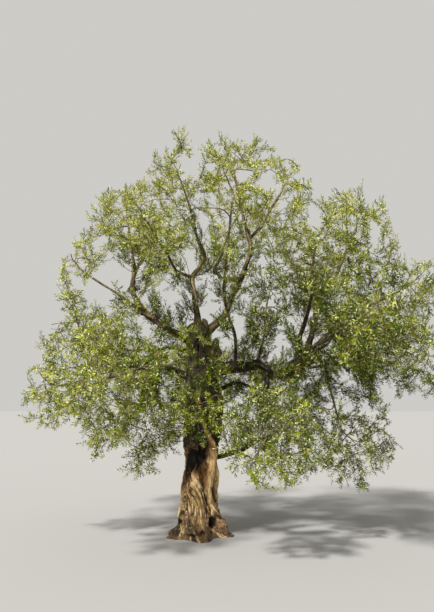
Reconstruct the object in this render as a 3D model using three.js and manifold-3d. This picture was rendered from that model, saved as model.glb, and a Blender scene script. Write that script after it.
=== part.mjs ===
// A large old olive tree as it stands in a grove: a fluted, half hollow trunk, the limbs that
// fork from it, and the masses of leafy twigs that the limbs carry.
// Millimetres, +Z up. The origin is the middle of the flat cut at the trunk's foot, -Y is the front.

import * as THREE from "three";
import { mergeVertices } from "three/addons/utils/BufferGeometryUtils.js";
import Module from "manifold-3d";

const wasm = await Module();
wasm.setup();

const GAP = 0.3; // clear distance between two pieces that meet
const SLIVER = 0.05; // faces thinner than this are merged away

// The trunk: its height to the fork, its radius at the waist, and what widens or narrows it.
const TRUNK_HEIGHT = 3850;
const WAIST_RADIUS = 365;
const TRUNK_SIDES = 24;
const TRUNK_RINGS = 16;
const TRUNK_POINTS = 12; // points that its axis runs through
const RINGS_LOW = 1.25; // above 1, the rings stand closer near the ground
const ROOT_FLARE = { extra: 190, height: 230 };
const TAPER = 25;
const SHOULDER = { loss: 120, from: 2500, to: 3500 };
const ROUNDED_FROM = 3600; // above this height the trunk's top closes between the limbs
const ROUNDED_BY = 0.9;
const LEAN = { sway: 50, from: 1500, wave: 3100, upright: 900 };
const BUTTRESSES = { count: 5, depth: 0.17, height: 480, turn: 0.9, twist: 0.0005 };
const FLUTES = { count: 3, depth: 0.05, turn: -0.6, twist: 0.0011 };
// The rotten hollow in the front of the trunk, and the two smaller holes below it.
const HOLLOWS = [
  { bearing: -118, height: 1350, halfWidth: 40, halfHeight: 220, depth: 150 },
  { bearing: -143, height: 850, halfWidth: 13, halfHeight: 80, depth: 60 },
  { bearing: -38, height: 190, halfWidth: 20, halfHeight: 140, depth: 120 },
];

// The limbs, each named after where it goes. A limb leaves its parent at a share of the parent's
// length, passes its bends, and ends at a point or where it enters the mass it carries.
const LIMB_SIDES = 6;
const LIMB_STEP = 400; // length of one straight piece of a limb
const LIMB_PIECES = 4; // the fewest straight pieces of a limb
const KNOT_SHARE = 0.045; // how far a limb wanders sideways between two bends
const KNOTS_KEPT = 7; // scattered numbers kept for each limb's knots
const COLLAR = { extra: 0.3, fade: 12 }; // extra thickness where a limb leaves its parent
const ENTRY_SHARES = [0.85, 0.75, 0.65, 0.55, 0.45]; // how deep a limb may reach its mass
const BEAD_STEP = 40; // distance of the beads that twigs and sprays keep clear of
const LIMBS = [
  { name: "left_limb", from: "trunk", at: 0.9, to: [-1140, -100, 4070], radii: [92, 72],
    bends: [[-620, -60, 3720]] },
  { name: "left_rise", from: "left_limb", at: 0.97, to: "left_upper", radii: [70, 38],
    bends: [[-1310, -60, 4450], [-1290, 20, 4850]] },
  { name: "left_arm", from: "left_limb", at: 0.82, to: "left_far", radii: [42, 26],
    bends: [[-1500, -80, 4330]] },
  { name: "middle_limb", from: "trunk", at: 0.93, to: "crown_top_left", radii: [74, 34],
    bends: [[-110, 60, 4250], [-180, 100, 4750], [60, 60, 5200]] },
  { name: "middle_arm", from: "middle_limb", at: 0.5, to: "left_high_front", radii: [40, 26],
    bends: [[-480, -150, 4850]] },
  { name: "right_limb", from: "trunk", at: 0.92, to: "crown_top", radii: [86, 36],
    bends: [[450, 0, 4010], [710, 0, 4580], [960, 0, 5350]] },
  { name: "right_fork", from: "right_limb", at: 0.72, to: "crown_top_right", radii: [44, 30],
    bends: [[1160, 40, 5750]] },
  { name: "cross_limb", from: "right_limb", at: 0.45, to: "crown_back", radii: [46, 32],
    bends: [[420, 160, 4760], [250, 500, 5000]] },
  { name: "east_limb", from: "trunk", at: 0.75, to: [2010, -100, 3100], radii: [125, 92],
    bends: [[760, -60, 3020], [1060, -100, 3060], [1400, -110, 2860]] },
  { name: "front_limb", from: "east_limb", at: 0.3, to: "crown_front", radii: [36, 25],
    bends: [[620, -500, 3600], [420, -1100, 4300]] },
  { name: "centre_limb", from: "east_limb", at: 0.5, to: "centre_right", radii: [32, 22],
    bends: [[1180, 60, 3500]] },
  { name: "east_upright", from: "east_limb", at: 0.93, to: "right_high_front", radii: [62, 30],
    bends: [[1830, -350, 3500], [1930, -900, 4000]] },
  { name: "east_rise", from: "east_limb", at: 0.98, to: "right_upper", radii: [76, 36],
    bends: [[2090, -60, 3600], [2240, 0, 4200], [2650, 100, 4850]] },
  { name: "east_back_rise", from: "east_rise", at: 0.35, to: "right_high_back", radii: [44, 30],
    bends: [[2250, 600, 4300]] },
  { name: "east_arm", from: "east_rise", at: 0.1, to: "right_far_upper", radii: [48, 28],
    bends: [[2420, 60, 3640], [2850, 120, 4020]] },
  { name: "east_arch", from: "east_arm", at: 0.3, to: "right_far", radii: [36, 24],
    bends: [[2880, -60, 3690]] },
  { name: "east_drop", from: "east_limb", at: 0.9, to: "right_low", radii: [38, 24],
    bends: [[2300, -160, 3010]] },
  { name: "east_front_arm", from: "east_limb", at: 0.82, to: "right_middle_front", radii: [42, 28],
    bends: [[1900, -650, 3250]] },
  { name: "east_back_arm", from: "east_limb", at: 0.86, to: "right_middle_back", radii: [46, 30],
    bends: [[2150, 700, 3350]] },
  { name: "west_limb", from: "trunk", at: 0.7, to: "left_middle", radii: [72, 34],
    bends: [[-420, -40, 2930], [-760, -60, 3030], [-1150, 0, 3000]] },
  { name: "west_arm", from: "west_limb", at: 0.72, to: "left_low_tip", radii: [32, 22],
    bends: [[-1750, -180, 2900]] },
  { name: "west_drop", from: "west_limb", at: 0.42, to: "left_hanging", radii: [34, 24],
    bends: [[-1040, -160, 2870]] },
  { name: "west_front_arm", from: "west_limb", at: 0.3, to: "left_low_front", radii: [42, 28],
    bends: [[-780, -700, 3020]] },
  { name: "back_left_limb", from: "trunk", at: 0.82, to: "left_low_back", radii: [62, 34],
    bends: [[-620, 700, 3450]] },
  { name: "back_high_limb", from: "left_rise", at: 0.4, to: "left_high_back", radii: [46, 32],
    bends: [[-1330, 800, 5150]] },
  { name: "back_limb", from: "trunk", at: 0.72, to: "back_low", radii: [56, 34],
    bends: [[0, 900, 3000]] },
  { name: "back_right_limb", from: "trunk", at: 0.66, to: "right_low_back", radii: [60, 34],
    bends: [[700, 700, 2750]] },
  { name: "low_limb", from: "trunk", at: 0.34, to: "right_low_front", radii: [58, 30],
    bends: [[560, -120, 1440], [800, -420, 1540]] },
];
// Two limbs that broke off long ago: a stump beside the fork and a spur under the east limb.
const BROKEN = [
  { name: "broken_stump", from: "trunk", at: 0.84, to: [300, -100, 3520], radii: [95, 85],
    bends: [[285, -90, 3260]] },
  { name: "hanging_spur", from: "east_limb", at: 0.52, to: [1250, -110, 2530], radii: [60, 38],
    bends: [[1240, -100, 2740]] },
];

// The masses of foliage: the middle and radius of the space each keeps to, and how far its twigs
// arch upwards, or hang where the figure is below zero.
const MASSES = [
  { name: "crown_top", at: [600, 200, 7190], radius: 950, arch: 0.35 },
  { name: "crown_top_left", at: [-400, -150, 6620], radius: 950, arch: 0.3 },
  { name: "crown_top_right", at: [1620, 100, 6550], radius: 930, arch: 0.3 },
  { name: "crown_front", at: [550, -2000, 5550], radius: 930, arch: 0.1 },
  { name: "crown_back", at: [650, 2000, 6400], radius: 1000, arch: 0.2 },
  { name: "left_upper", at: [-1480, 150, 6020], radius: 920, arch: 0.25 },
  { name: "left_high_front", at: [-850, -1800, 5300], radius: 830, arch: 0.1 },
  { name: "left_high_back", at: [-1200, 2150, 5950], radius: 980, arch: 0.15 },
  { name: "left_far", at: [-2370, 0, 4930], radius: 830, arch: 0 },
  { name: "left_middle", at: [-2330, 150, 3720], radius: 900, arch: -0.1 },
  { name: "left_low_tip", at: [-2560, -350, 2650], radius: 780, arch: -0.25 },
  { name: "left_low_front", at: [-1350, -2150, 2700], radius: 930, arch: -0.3 },
  { name: "left_low_back", at: [-1900, 2100, 3500], radius: 1030, arch: -0.2 },
  { name: "left_hanging", at: [-1150, -450, 2050], radius: 880, arch: -0.4 },
  { name: "right_upper", at: [3080, 150, 5750], radius: 980, arch: 0.3 },
  { name: "right_high_front", at: [1900, -1950, 4850], radius: 930, arch: 0 },
  { name: "right_high_back", at: [2450, 2100, 5600], radius: 1030, arch: 0.15 },
  { name: "right_far_upper", at: [3950, 250, 4550], radius: 900, arch: 0.05 },
  { name: "right_far", at: [3980, -50, 3250], radius: 850, arch: -0.2 },
  { name: "right_middle_front", at: [2750, -2150, 3600], radius: 880, arch: -0.15 },
  { name: "right_middle_back", at: [3300, 2100, 4050], radius: 980, arch: -0.1 },
  { name: "right_low", at: [2550, -350, 1820], radius: 950, arch: -0.4 },
  { name: "right_low_front", at: [1150, -1950, 1880], radius: 770, arch: -0.35 },
  { name: "right_low_back", at: [1650, 2150, 2550], radius: 1030, arch: -0.3 },
  { name: "back_low", at: [-200, 2350, 2900], radius: 950, arch: -0.2 },
  { name: "centre_right", at: [1300, 250, 4350], radius: 700, arch: 0.1, twigs: 4 },
];
// The shoots that hang from the trunk itself, before its face.
const TRUNK_SHOOTS = { name: "trunk_shoots", at: [-20, -800, 2350], radius: 520, arch: -0.4, twigs: 3 };
const TRUNK_SHOOTS_FROM = 2700;
const TRUNK_SHOOTS_STEM = 20;
const FRONT = -90;

// The rule that twigs grow by.
const STEM_SIDES = 5;
const STEM_PIECES = 3;
const TWIG_SIDES = 3;
const TWIG_PIECES = 2;
const STEM_SHARE = 0.8; // thickness of a mass's stem at the limb's tip, as a share of the limb's
const TWIGS = 5; // twigs of a mass that states no number of its own
const STEM_END_RADIUS = 18;
const TWIG_THINNING = [0.66, 0.5]; // a twig's radii, as shares of its parent's where it starts
const THINNEST = 6.5;
const TWIG_REACH = [0.62, 0.5, 0.38]; // shares of a mass's radius, tried until the twig fits
const LEAVING_SHARE = 0.4; // how long a new twig keeps its parent's direction
const ARCHING_SHARE = 0.5; // how much of a mass's arch its twigs take
const TWIG_CHECKS = [0.25, 0.5, 0.75, 1]; // where along a twig its room is measured
const LIMB_ROOM = 25; // clear distance between a twig or spray and a limb
const TWIG_ROOM = 20; // clear distance between a twig and the next mass's space
const TWIG_STARTS = [0.3, 0.6, 0.9]; // where along a stem or twig the next ones may start
const GOLDEN_TURN = Math.PI * (3 - Math.sqrt(5));
const CROWN_HEART = [650, 0, 4600];
const SUNWARD = 0.45; // how far a mass's twigs turn away from the heart of the crown

// A leaf here is as large as a spray of real leaves, since the whole crown has only these.
const SPRAY = { length: 600, width: 190, thickness: 18, widest: 0.32, sunk: 2 };
const SPRAY_SIZES = [1, 0.85, 0.7, 0.55]; // a spray that doesn't fit its space is tried smaller
const SPRAY_CHECKS = [0.2, 0.4, 0.6, 0.8, 1]; // where along a spray its room is measured
const SPRAY_ROOM = 130; // clear distance between the middles of two sprays
const SIDE_SHARES = [0.42, 0.76]; // where along a twig its side sprays are rooted
const SIDE_ANGLE = 60;
const SIDE_TURNS = 7; // turns about its twig that a side spray may take
const OUTWARD = 0.9; // how far a twig's last spray turns away from the heart of its mass

const COLOURS = { deadwood: "#8a7458", bark: "#4d4436", leaves: "#7d8a44" };
const ROUGHNESS = 0.85;

const vector = (values) => new THREE.Vector3(...values);
const radians = THREE.MathUtils.degToRad;
const UP = new THREE.Vector3(0, 0, 1);
const hump = (value, middle, spread) => Math.exp(-(((value - middle) / spread) ** 2));

// Evenly scattered numbers from 0 to 1: the radical inverse of a whole number.
function even(index, base) {
  let value = 0;
  for (let n = index, share = 1 / base; n > 0; n = Math.floor(n / base), share /= base) {
    value += (n % base) * share;
  }
  return value;
}

function trunkRadius(height) {
  const flare = ROOT_FLARE.extra * Math.exp(-height / ROOT_FLARE.height);
  const shoulder = SHOULDER.loss * THREE.MathUtils.smoothstep(height, SHOULDER.from, SHOULDER.to);
  const taper = TAPER * (height / TRUNK_HEIGHT);
  const over = Math.max(0, (height - ROUNDED_FROM) / (TRUNK_HEIGHT - ROUNDED_FROM));
  return (WAIST_RADIUS + flare - shoulder - taper) * Math.sqrt(1 - ROUNDED_BY * over ** 2);
}

function trunkAxis(height) {
  const settled = Math.min(1, height / LEAN.upright);
  const phase = (2 * Math.PI * (height - LEAN.from)) / LEAN.wave;
  return new THREE.Vector3(LEAN.sway * settled * Math.sin(phase), 0, height);
}

function hollowDepth(angle, height) {
  return HOLLOWS.reduce((sum, hollow) => {
    const turn = angle - radians(hollow.bearing);
    const aside = Math.atan2(Math.sin(turn), Math.cos(turn));
    const across = hump(aside, 0, radians(hollow.halfWidth));
    return sum + hollow.depth * across * hump(height, hollow.height, hollow.halfHeight);
  }, 0);
}

// The trunk's skin, fluted by its buttresses and sunk at its hollows, grown by a margin.
function trunkSkin(angle, height, margin) {
  const { count, depth, turn, twist } = BUTTRESSES;
  const rooted = depth * Math.exp(-height / BUTTRESSES.height);
  const buttress = rooted * Math.cos(count * angle + turn + twist * height);
  const flute = FLUTES.depth * Math.cos(FLUTES.count * angle + FLUTES.turn + FLUTES.twist * height);
  const radius = trunkRadius(height) * (1 + buttress + flute) - hollowDepth(angle, height) + margin;
  const axis = trunkAxis(height);
  return axis.add(new THREE.Vector3(radius * Math.cos(angle), radius * Math.sin(angle), 0));
}

// A closed solid from a geometry, once only its positions are left and its shared vertices merged.
function solidOf(geometry) {
  geometry.deleteAttribute("normal");
  geometry.deleteAttribute("uv");
  const merged = mergeVertices(geometry, 1e-3);
  return new wasm.Manifold(
    new wasm.Mesh({
      numProp: 3,
      vertProperties: merged.attributes.position.array,
      triVerts: new Uint32Array(merged.index.array),
    }),
  );
}

function geometryOf(solid) {
  const mesh = solid.getMesh();
  return new THREE.BufferGeometry()
    .setAttribute("position", new THREE.BufferAttribute(mesh.vertProperties, 3))
    .setIndex(new THREE.BufferAttribute(mesh.triVerts, 1));
}

// Only the largest body of a solid, without loose scraps or the skins of sealed hollows.
function largestBody(solid) {
  return solid.decompose().reduce((kept, body) => (body.volume() > kept.volume() ? body : kept));
}

// Every vertex of a geometry moved to where a function of its own place puts it.
function moved(geometry, place) {
  const position = geometry.getAttribute("position");
  const at = new THREE.Vector3();
  for (let n = 0; n < position.count; n += 1) {
    const to = place(at.fromBufferAttribute(position, n));
    position.setXYZ(n, to.x, to.y, to.z);
  }
  return geometry;
}

function trunkSolid(margin) {
  const column = new THREE.CylinderGeometry(1, 1, 1, TRUNK_SIDES, TRUNK_RINGS);
  return solidOf(
    moved(column, (point) => {
      const height = (point.y + 0.5) ** RINGS_LOW * (TRUNK_HEIGHT + 2 * margin) - margin;
      const onTrunk = THREE.MathUtils.clamp(height, 0, TRUNK_HEIGHT);
      const skin = trunkSkin(Math.atan2(-point.z, point.x), onTrunk, margin);
      const across = Math.hypot(point.x, point.z);
      return trunkAxis(onTrunk).lerp(skin, across).setZ(height);
    }),
  );
}

// A round limb or twig along a curve, tapering by a function of the share along it.
function taperedTube(curve, radiusAt, sides, pieces, margin = 0) {
  const tube = new THREE.CylinderGeometry(1, 1, 1, sides, pieces);
  const { tangents, normals, binormals } = curve.computeFrenetFrames(pieces, false);
  return moved(tube, (point) => {
    const ring = Math.round((point.y + 0.5) * pieces);
    const share = ring / pieces;
    const radius = radiusAt(share) + margin;
    const beyond = ring === 0 ? -margin : ring === pieces ? margin : 0;
    return curve
      .getPointAt(share)
      .addScaledVector(tangents[ring], beyond)
      .addScaledVector(normals[ring], point.x * radius)
      .addScaledVector(binormals[ring], -point.z * radius);
  });
}

// A point on the axis of such a tube, which runs straight from ring to ring.
function pointOnTube(curve, pieces, share) {
  const ring = Math.min(Math.floor(share * pieces), pieces - 1);
  const next = curve.getPointAt((ring + 1) / pieces);
  return curve.getPointAt(ring / pieces).lerp(next, share * pieces - ring);
}

const trunkCurve = new THREE.CatmullRomCurve3(
  Array.from({ length: TRUNK_POINTS }, (_, n) => trunkAxis((n / (TRUNK_POINTS - 1)) * TRUNK_HEIGHT)),
  false,
  "catmullrom",
);

// A limb wanders between its bends, as old olive wood does: each stretch gets a knot at its middle.
function knotted(points, seed) {
  const path = [points[0]];
  for (let n = 1; n < points.length; n += 1) {
    const [from, to] = [points[n - 1], points[n]];
    const wander = from.distanceTo(to) * KNOT_SHARE;
    const index = seed * KNOTS_KEPT + n;
    const aside = [even(index, 2), even(index, 3), even(index, 5)].map((share) => (2 * share - 1) * wander);
    path.push(from.clone().lerp(to, 0.5).add(vector(aside)), to);
  }
  return path;
}

const massNamed = new Map([...MASSES, TRUNK_SHOOTS].map((mass) => [mass.name, mass]));

// Whether a point lies in a mass's own space, with room to spare: inside its sphere, and on its
// side of the plane that parts it from each neighbour's sphere.
function owns(mass, point, room) {
  const heart = vector(mass.at);
  const own = point.distanceToSquared(heart) - mass.radius ** 2;
  if (own > 0) return false;
  return [...massNamed.values()].every((other) => {
    if (other === mass) return true;
    const power = point.distanceToSquared(vector(other.at)) - other.radius ** 2;
    return power - own > 2 * room * vector(other.at).distanceTo(heart);
  });
}

// The end of a limb that carries a mass: the first point on the straight way in that is the mass's own.
function entryOf(mass, from) {
  const inward = vector(mass.at).sub(from).normalize();
  const points = ENTRY_SHARES.map((share) => vector(mass.at).addScaledVector(inward, -share * mass.radius));
  return points.find((point) => owns(mass, point, LIMB_ROOM)) ?? points.at(-1);
}

function limbCurve(limb, parentCurve, seed) {
  const start = parentCurve.getPointAt(limb.at);
  const bends = limb.bends.map(vector);
  const carried = massNamed.get(limb.to);
  const end = carried ? entryOf(carried, bends.at(-1)) : vector(limb.to);
  return new THREE.CatmullRomCurve3(knotted([start, ...bends, end], seed), false, "catmullrom");
}

function limbRadius(limb, share) {
  const [thick, thin] = limb.radii;
  return (thick + (thin - thick) * share) * (1 + COLLAR.extra * Math.exp(-share * COLLAR.fade));
}

// Every limb as a curve, and as beads along it that twigs and sprays keep clear of.
const grown = new Map([
  ["trunk", { curve: trunkCurve, radiusAt: (share) => trunkRadius(share * TRUNK_HEIGHT) }],
]);
[...LIMBS, ...BROKEN].forEach((limb, index) => {
  const curve = limbCurve(limb, grown.get(limb.from).curve, index + 1);
  grown.set(limb.name, { curve, radiusAt: (share) => limbRadius(limb, share) });
});
const beads = [...grown.values()].flatMap(({ curve, radiusAt }) => {
  const count = Math.ceil(curve.getLength() / BEAD_STEP);
  return Array.from({ length: count + 1 }, (_, n) => ({
    at: curve.getPointAt(n / count),
    radius: radiusAt(n / count),
  }));
});
function clearOfLimbs(point, room) {
  return beads.every(({ at, radius }) => at.distanceToSquared(point) > (radius + room) ** 2);
}

// Limbs as solids. A limb starts inside its parent and is cut clear of all that stood before it.
const standing = [
  { name: "trunk", solid: trunkSolid(0), grownSolid: trunkSolid(GAP), colour: COLOURS.deadwood },
];
[...LIMBS, ...BROKEN].forEach((limb) => {
  const { name } = limb;
  const { curve, radiusAt } = grown.get(name);
  const pieces = Math.max(LIMB_PIECES, Math.round(curve.getLength() / LIMB_STEP));
  const tube = (margin) => solidOf(taperedTube(curve, radiusAt, LIMB_SIDES, pieces, margin));
  const cut = standing.reduce((left, other) => {
    const touching = left.intersect(other.grownSolid).volume() > 0;
    return touching ? left.subtract(other.grownSolid) : left;
  }, tube(0));
  const colour = BROKEN.includes(limb) ? COLOURS.deadwood : COLOURS.bark;
  standing.push({ name, solid: largestBody(cut), grownSolid: tube(GAP), colour });
});

// The stem of a mass carries its limb's line on, from just off its tip into the heart of the mass.
function stemCurve(mass, tip, heading) {
  const heart = vector(mass.at);
  const start = tip.clone().addScaledVector(heading, GAP);
  const bend = start.clone().addScaledVector(heading, LEAVING_SHARE * tip.distanceTo(heart));
  return new THREE.QuadraticBezierCurve3(start, bend, heart);
}

// The direction in which twig number n of a mass reaches: evenly spread round the mass's heart,
// and turned somewhat away from the heart of the crown, towards the light.
function twigDirection(mass, seed, n) {
  const rise = 1 - (2 * n + 1) / (mass.twigs ?? TWIGS);
  const turn = n * GOLDEN_TURN + 2 * Math.PI * even(seed, 2);
  const flat = Math.sqrt(1 - rise * rise);
  const light = vector(mass.at).sub(vector(CROWN_HEART)).normalize();
  const direction = new THREE.Vector3(flat * Math.cos(turn), flat * Math.sin(turn), rise);
  return direction.addScaledVector(light, SUNWARD).normalize();
}

// A twig grows from the nearest spot that has grown already, first along it, then to its own aim.
function twigCurve(from, aim, arch) {
  const length = from.at.distanceTo(aim);
  const bend = from.at.clone().addScaledVector(from.heading, LEAVING_SHARE * length);
  bend.z += ARCHING_SHARE * arch * length;
  return new THREE.QuadraticBezierCurve3(from.at, bend, aim);
}

function twigFits(mass, curve) {
  return TWIG_CHECKS.every((share) => {
    const point = curve.getPointAt(share);
    return owns(mass, point, TWIG_ROOM) && clearOfLimbs(point, LIMB_ROOM);
  });
}

// The spots on a stem or twig where the next ones may start.
function startsAlong({ curve, pieces, radii }) {
  return TWIG_STARTS.map((share) => ({
    at: pointOnTube(curve, pieces, share),
    heading: curve.getTangentAt(share),
    radius: radii[0] + (radii[1] - radii[0]) * share,
  }));
}

function growTwigs(mass, seed, stem) {
  const starts = startsAlong(stem);
  const twigs = [];
  for (let n = 0; n < (mass.twigs ?? TWIGS); n += 1) {
    const direction = twigDirection(mass, seed, n);
    const tries = TWIG_REACH.map((reach) => {
      const aim = vector(mass.at).addScaledVector(direction, reach * mass.radius);
      const distance = (start) => start.at.distanceTo(aim);
      const nearest = starts.reduce((near, start) => (distance(start) < distance(near) ? start : near));
      return { nearest, curve: twigCurve(nearest, aim, mass.arch) };
    });
    const fitting = tries.find(({ curve }) => twigFits(mass, curve));
    if (fitting) {
      const radii = TWIG_THINNING.map((share) => Math.max(THINNEST, share * fitting.nearest.radius));
      const twig = { curve: fitting.curve, pieces: TWIG_PIECES, radii };
      twigs.push(twig);
      starts.splice(starts.indexOf(fitting.nearest), 1, ...startsAlong(twig));
    }
  }
  return twigs;
}

// One spray of leaves as a single blade of eight faces, its root sunk in its twig, and its breadth
// turned towards a given direction.
function sprayGeometry({ root, heading, breadthwards, size }) {
  const blade = moved(new THREE.OctahedronGeometry(1, 0), (point) => {
    const along = point.x === 0 ? SPRAY.widest : (point.x + 1) / 2;
    const length = along * SPRAY.length * size - SPRAY.sunk;
    return new THREE.Vector3(length, (point.y * SPRAY.width * size) / 2, (point.z * SPRAY.thickness) / 2);
  });
  const facing = heading.clone().cross(breadthwards).normalize();
  const across = facing.clone().cross(heading);
  return blade.applyMatrix4(new THREE.Matrix4().makeBasis(heading, across, facing).setPosition(root));
}

// The points along a spray that stand for it when the room round it is measured.
function sprayPoints({ root, heading, size }) {
  const half = (SPRAY.width * size) / 2;
  return SPRAY_CHECKS.map((share) => ({
    at: root.clone().addScaledVector(heading, share * SPRAY.length * size),
    breadth: half * Math.min(1, (1 - share) / (1 - SPRAY.widest)),
  }));
}

// A spray grows only where it stays in the mass's space, clear of the limbs and of other sprays.
function sprayFits(mass, spray, others) {
  const points = sprayPoints(spray);
  const taken = others.flatMap(sprayPoints);
  return (
    points.every(({ at, breadth }) => owns(mass, at, breadth + 2 * GAP)) &&
    points.every(({ at, breadth }) => clearOfLimbs(at, breadth + LIMB_ROOM)) &&
    points.slice(1).every(({ at }) => taken.every((other) => other.at.distanceTo(at) > SPRAY_ROOM))
  );
}

// The last spray of a twig turns outwards, and up or down as the mass's twigs arch.
function tipHeading(mass, root, heading) {
  const outward = root.clone().sub(vector(mass.at)).normalize();
  const turned = heading.clone().addScaledVector(outward, OUTWARD);
  turned.z += mass.arch;
  return turned.normalize();
}

function sideHeading(heading, spin) {
  const across = UP.clone().cross(heading).normalize();
  return heading.clone().applyAxisAngle(across, radians(SIDE_ANGLE)).applyAxisAngle(heading, spin);
}

function massSprays(mass, seed, twigs) {
  const sprays = [];
  const grow = (root, headings, breadthwards) => {
    const choices = SPRAY_SIZES.flatMap((size) =>
      headings.map((heading) => ({ root, heading, breadthwards, size })),
    );
    const fitting = choices.find((spray) => sprayFits(mass, spray, sprays));
    if (fitting) sprays.push(fitting);
  };
  twigs.forEach(({ curve, pieces }, n) => {
    const spin = 2 * Math.PI * even(n + seed, 3);
    const end = curve.getPointAt(1);
    const ending = curve.getTangentAt(1);
    grow(end, [tipHeading(mass, end, ending), ending], ending.clone().cross(UP));
    SIDE_SHARES.forEach((share, side) => {
      const tangent = curve.getTangentAt(share);
      const headings = Array.from({ length: SIDE_TURNS }, (_, turn) =>
        sideHeading(tangent, spin + side * Math.PI + (2 * Math.PI * turn) / SIDE_TURNS),
      );
      grow(pointOnTube(curve, pieces, share), headings, tangent);
    });
  });
  return sprays;
}

function massSolid(mass, seed, tip, heading, stemRadius) {
  const curve = stemCurve(mass, tip, heading);
  const stem = { curve, pieces: STEM_PIECES, radii: [stemRadius, STEM_END_RADIUS] };
  const twigs = growTwigs(mass, seed, stem);
  const tube = (sides) => ({ curve: along, pieces, radii: [thick, thin] }) =>
    taperedTube(along, (share) => thick + (thin - thick) * share, sides, pieces);
  const pieces = [
    tube(STEM_SIDES)(stem),
    ...twigs.map(tube(TWIG_SIDES)),
    ...massSprays(mass, seed, twigs).map(sprayGeometry),
  ];
  return largestBody(wasm.Manifold.union(pieces.map(solidOf)).simplify(SLIVER));
}

LIMBS.forEach((limb, index) => {
  const mass = massNamed.get(limb.to);
  if (!mass) return;
  const { curve } = grown.get(limb.name);
  const tip = curve.getPointAt(1);
  const solid = massSolid(mass, index + 1, tip, curve.getTangentAt(1), STEM_SHARE * limb.radii[1]);
  standing.push({ name: mass.name + "_foliage", solid, colour: COLOURS.leaves });
});

// The shoots before the trunk start from the trunk's own face.
const shootsRoot = trunkSkin(radians(FRONT), TRUNK_SHOOTS_FROM, 0);
const forwards = new THREE.Vector3(0, -1, 0);
const shootsSolid = massSolid(TRUNK_SHOOTS, 0, shootsRoot, forwards, TRUNK_SHOOTS_STEM);
standing.push({
  name: TRUNK_SHOOTS.name,
  solid: shootsSolid.subtract(standing[0].grownSolid),
  colour: COLOURS.leaves,
});

const tree = new THREE.Group();
tree.name = "olive_tree";
standing.forEach(({ name, solid, colour }) => {
  const material = new THREE.MeshStandardMaterial({ color: colour, roughness: ROUGHNESS, metalness: 0 });
  const mesh = new THREE.Mesh(geometryOf(solid), material);
  mesh.name = name;
  tree.add(mesh);
});

export default tree;
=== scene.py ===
"""An old olive tree: bark, dead wood, twigs and leaves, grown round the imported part."""

import functools
import math

import bpy
import numpy as np
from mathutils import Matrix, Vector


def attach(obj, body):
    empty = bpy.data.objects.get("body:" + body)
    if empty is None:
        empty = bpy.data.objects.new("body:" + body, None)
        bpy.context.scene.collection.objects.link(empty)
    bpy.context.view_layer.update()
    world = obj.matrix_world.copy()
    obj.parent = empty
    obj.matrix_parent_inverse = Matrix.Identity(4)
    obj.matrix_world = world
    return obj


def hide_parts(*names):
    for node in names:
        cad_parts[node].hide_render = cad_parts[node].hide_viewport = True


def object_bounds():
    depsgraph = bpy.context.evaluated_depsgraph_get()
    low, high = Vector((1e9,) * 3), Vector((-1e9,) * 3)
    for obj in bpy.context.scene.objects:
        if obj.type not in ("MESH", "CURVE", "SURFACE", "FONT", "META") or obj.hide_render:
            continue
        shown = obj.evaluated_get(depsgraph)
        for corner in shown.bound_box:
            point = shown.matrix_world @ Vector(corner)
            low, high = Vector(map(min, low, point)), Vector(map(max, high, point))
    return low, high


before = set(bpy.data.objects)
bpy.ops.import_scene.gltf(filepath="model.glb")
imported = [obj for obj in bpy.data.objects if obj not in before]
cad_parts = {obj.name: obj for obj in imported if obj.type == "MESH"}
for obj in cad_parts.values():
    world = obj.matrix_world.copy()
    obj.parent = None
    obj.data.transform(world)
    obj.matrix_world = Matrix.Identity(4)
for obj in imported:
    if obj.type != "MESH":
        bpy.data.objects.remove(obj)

bl_info = {
    "name": "Old Olive Tree",
    "version": (1, 0, 0),
    "blender": (4, 5, 0),
    "location": "View3D > Sidebar > Olive Tree",
    "description": "Dresses an old olive tree with its bark, dead wood, twigs and leaves",
    "category": "Add Mesh",
}

PART_BOX = [list(corner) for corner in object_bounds()]

# The trunk, in metres, as in the part: its skin is worked out from these.
TRUNK_HEIGHT = 3.85
WAIST_RADIUS = 0.365
ROOT_FLARE = {"extra": 0.19, "height": 0.23}
TAPER = 0.025
SHOULDER = {"loss": 0.12, "from": 2.5, "to": 3.5}
ROUNDED_FROM = 3.6
ROUNDED_BY = 0.9
LEAN = {"sway": 0.05, "from": 1.5, "wave": 3.1, "upright": 0.9}
BUTTRESSES = {"count": 5, "depth": 0.17, "height": 0.48, "turn": 0.9, "twist": 0.5}
FLUTES = {"count": 3, "depth": 0.05, "turn": -0.6, "twist": 1.1}
# Each hollow's bearing in degrees, height, half width in degrees, half height and depth.
HOLLOWS = [
    (-118, 1.35, 40, 0.22, 0.15),
    (-143, 0.85, 13, 0.08, 0.06),
    (-38, 0.19, 20, 0.14, 0.12),
]
TRUNK_POINTS = 12  # points that the trunk's line runs through
FINE_PIECES = 4  # straight pieces of a fine twig

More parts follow.
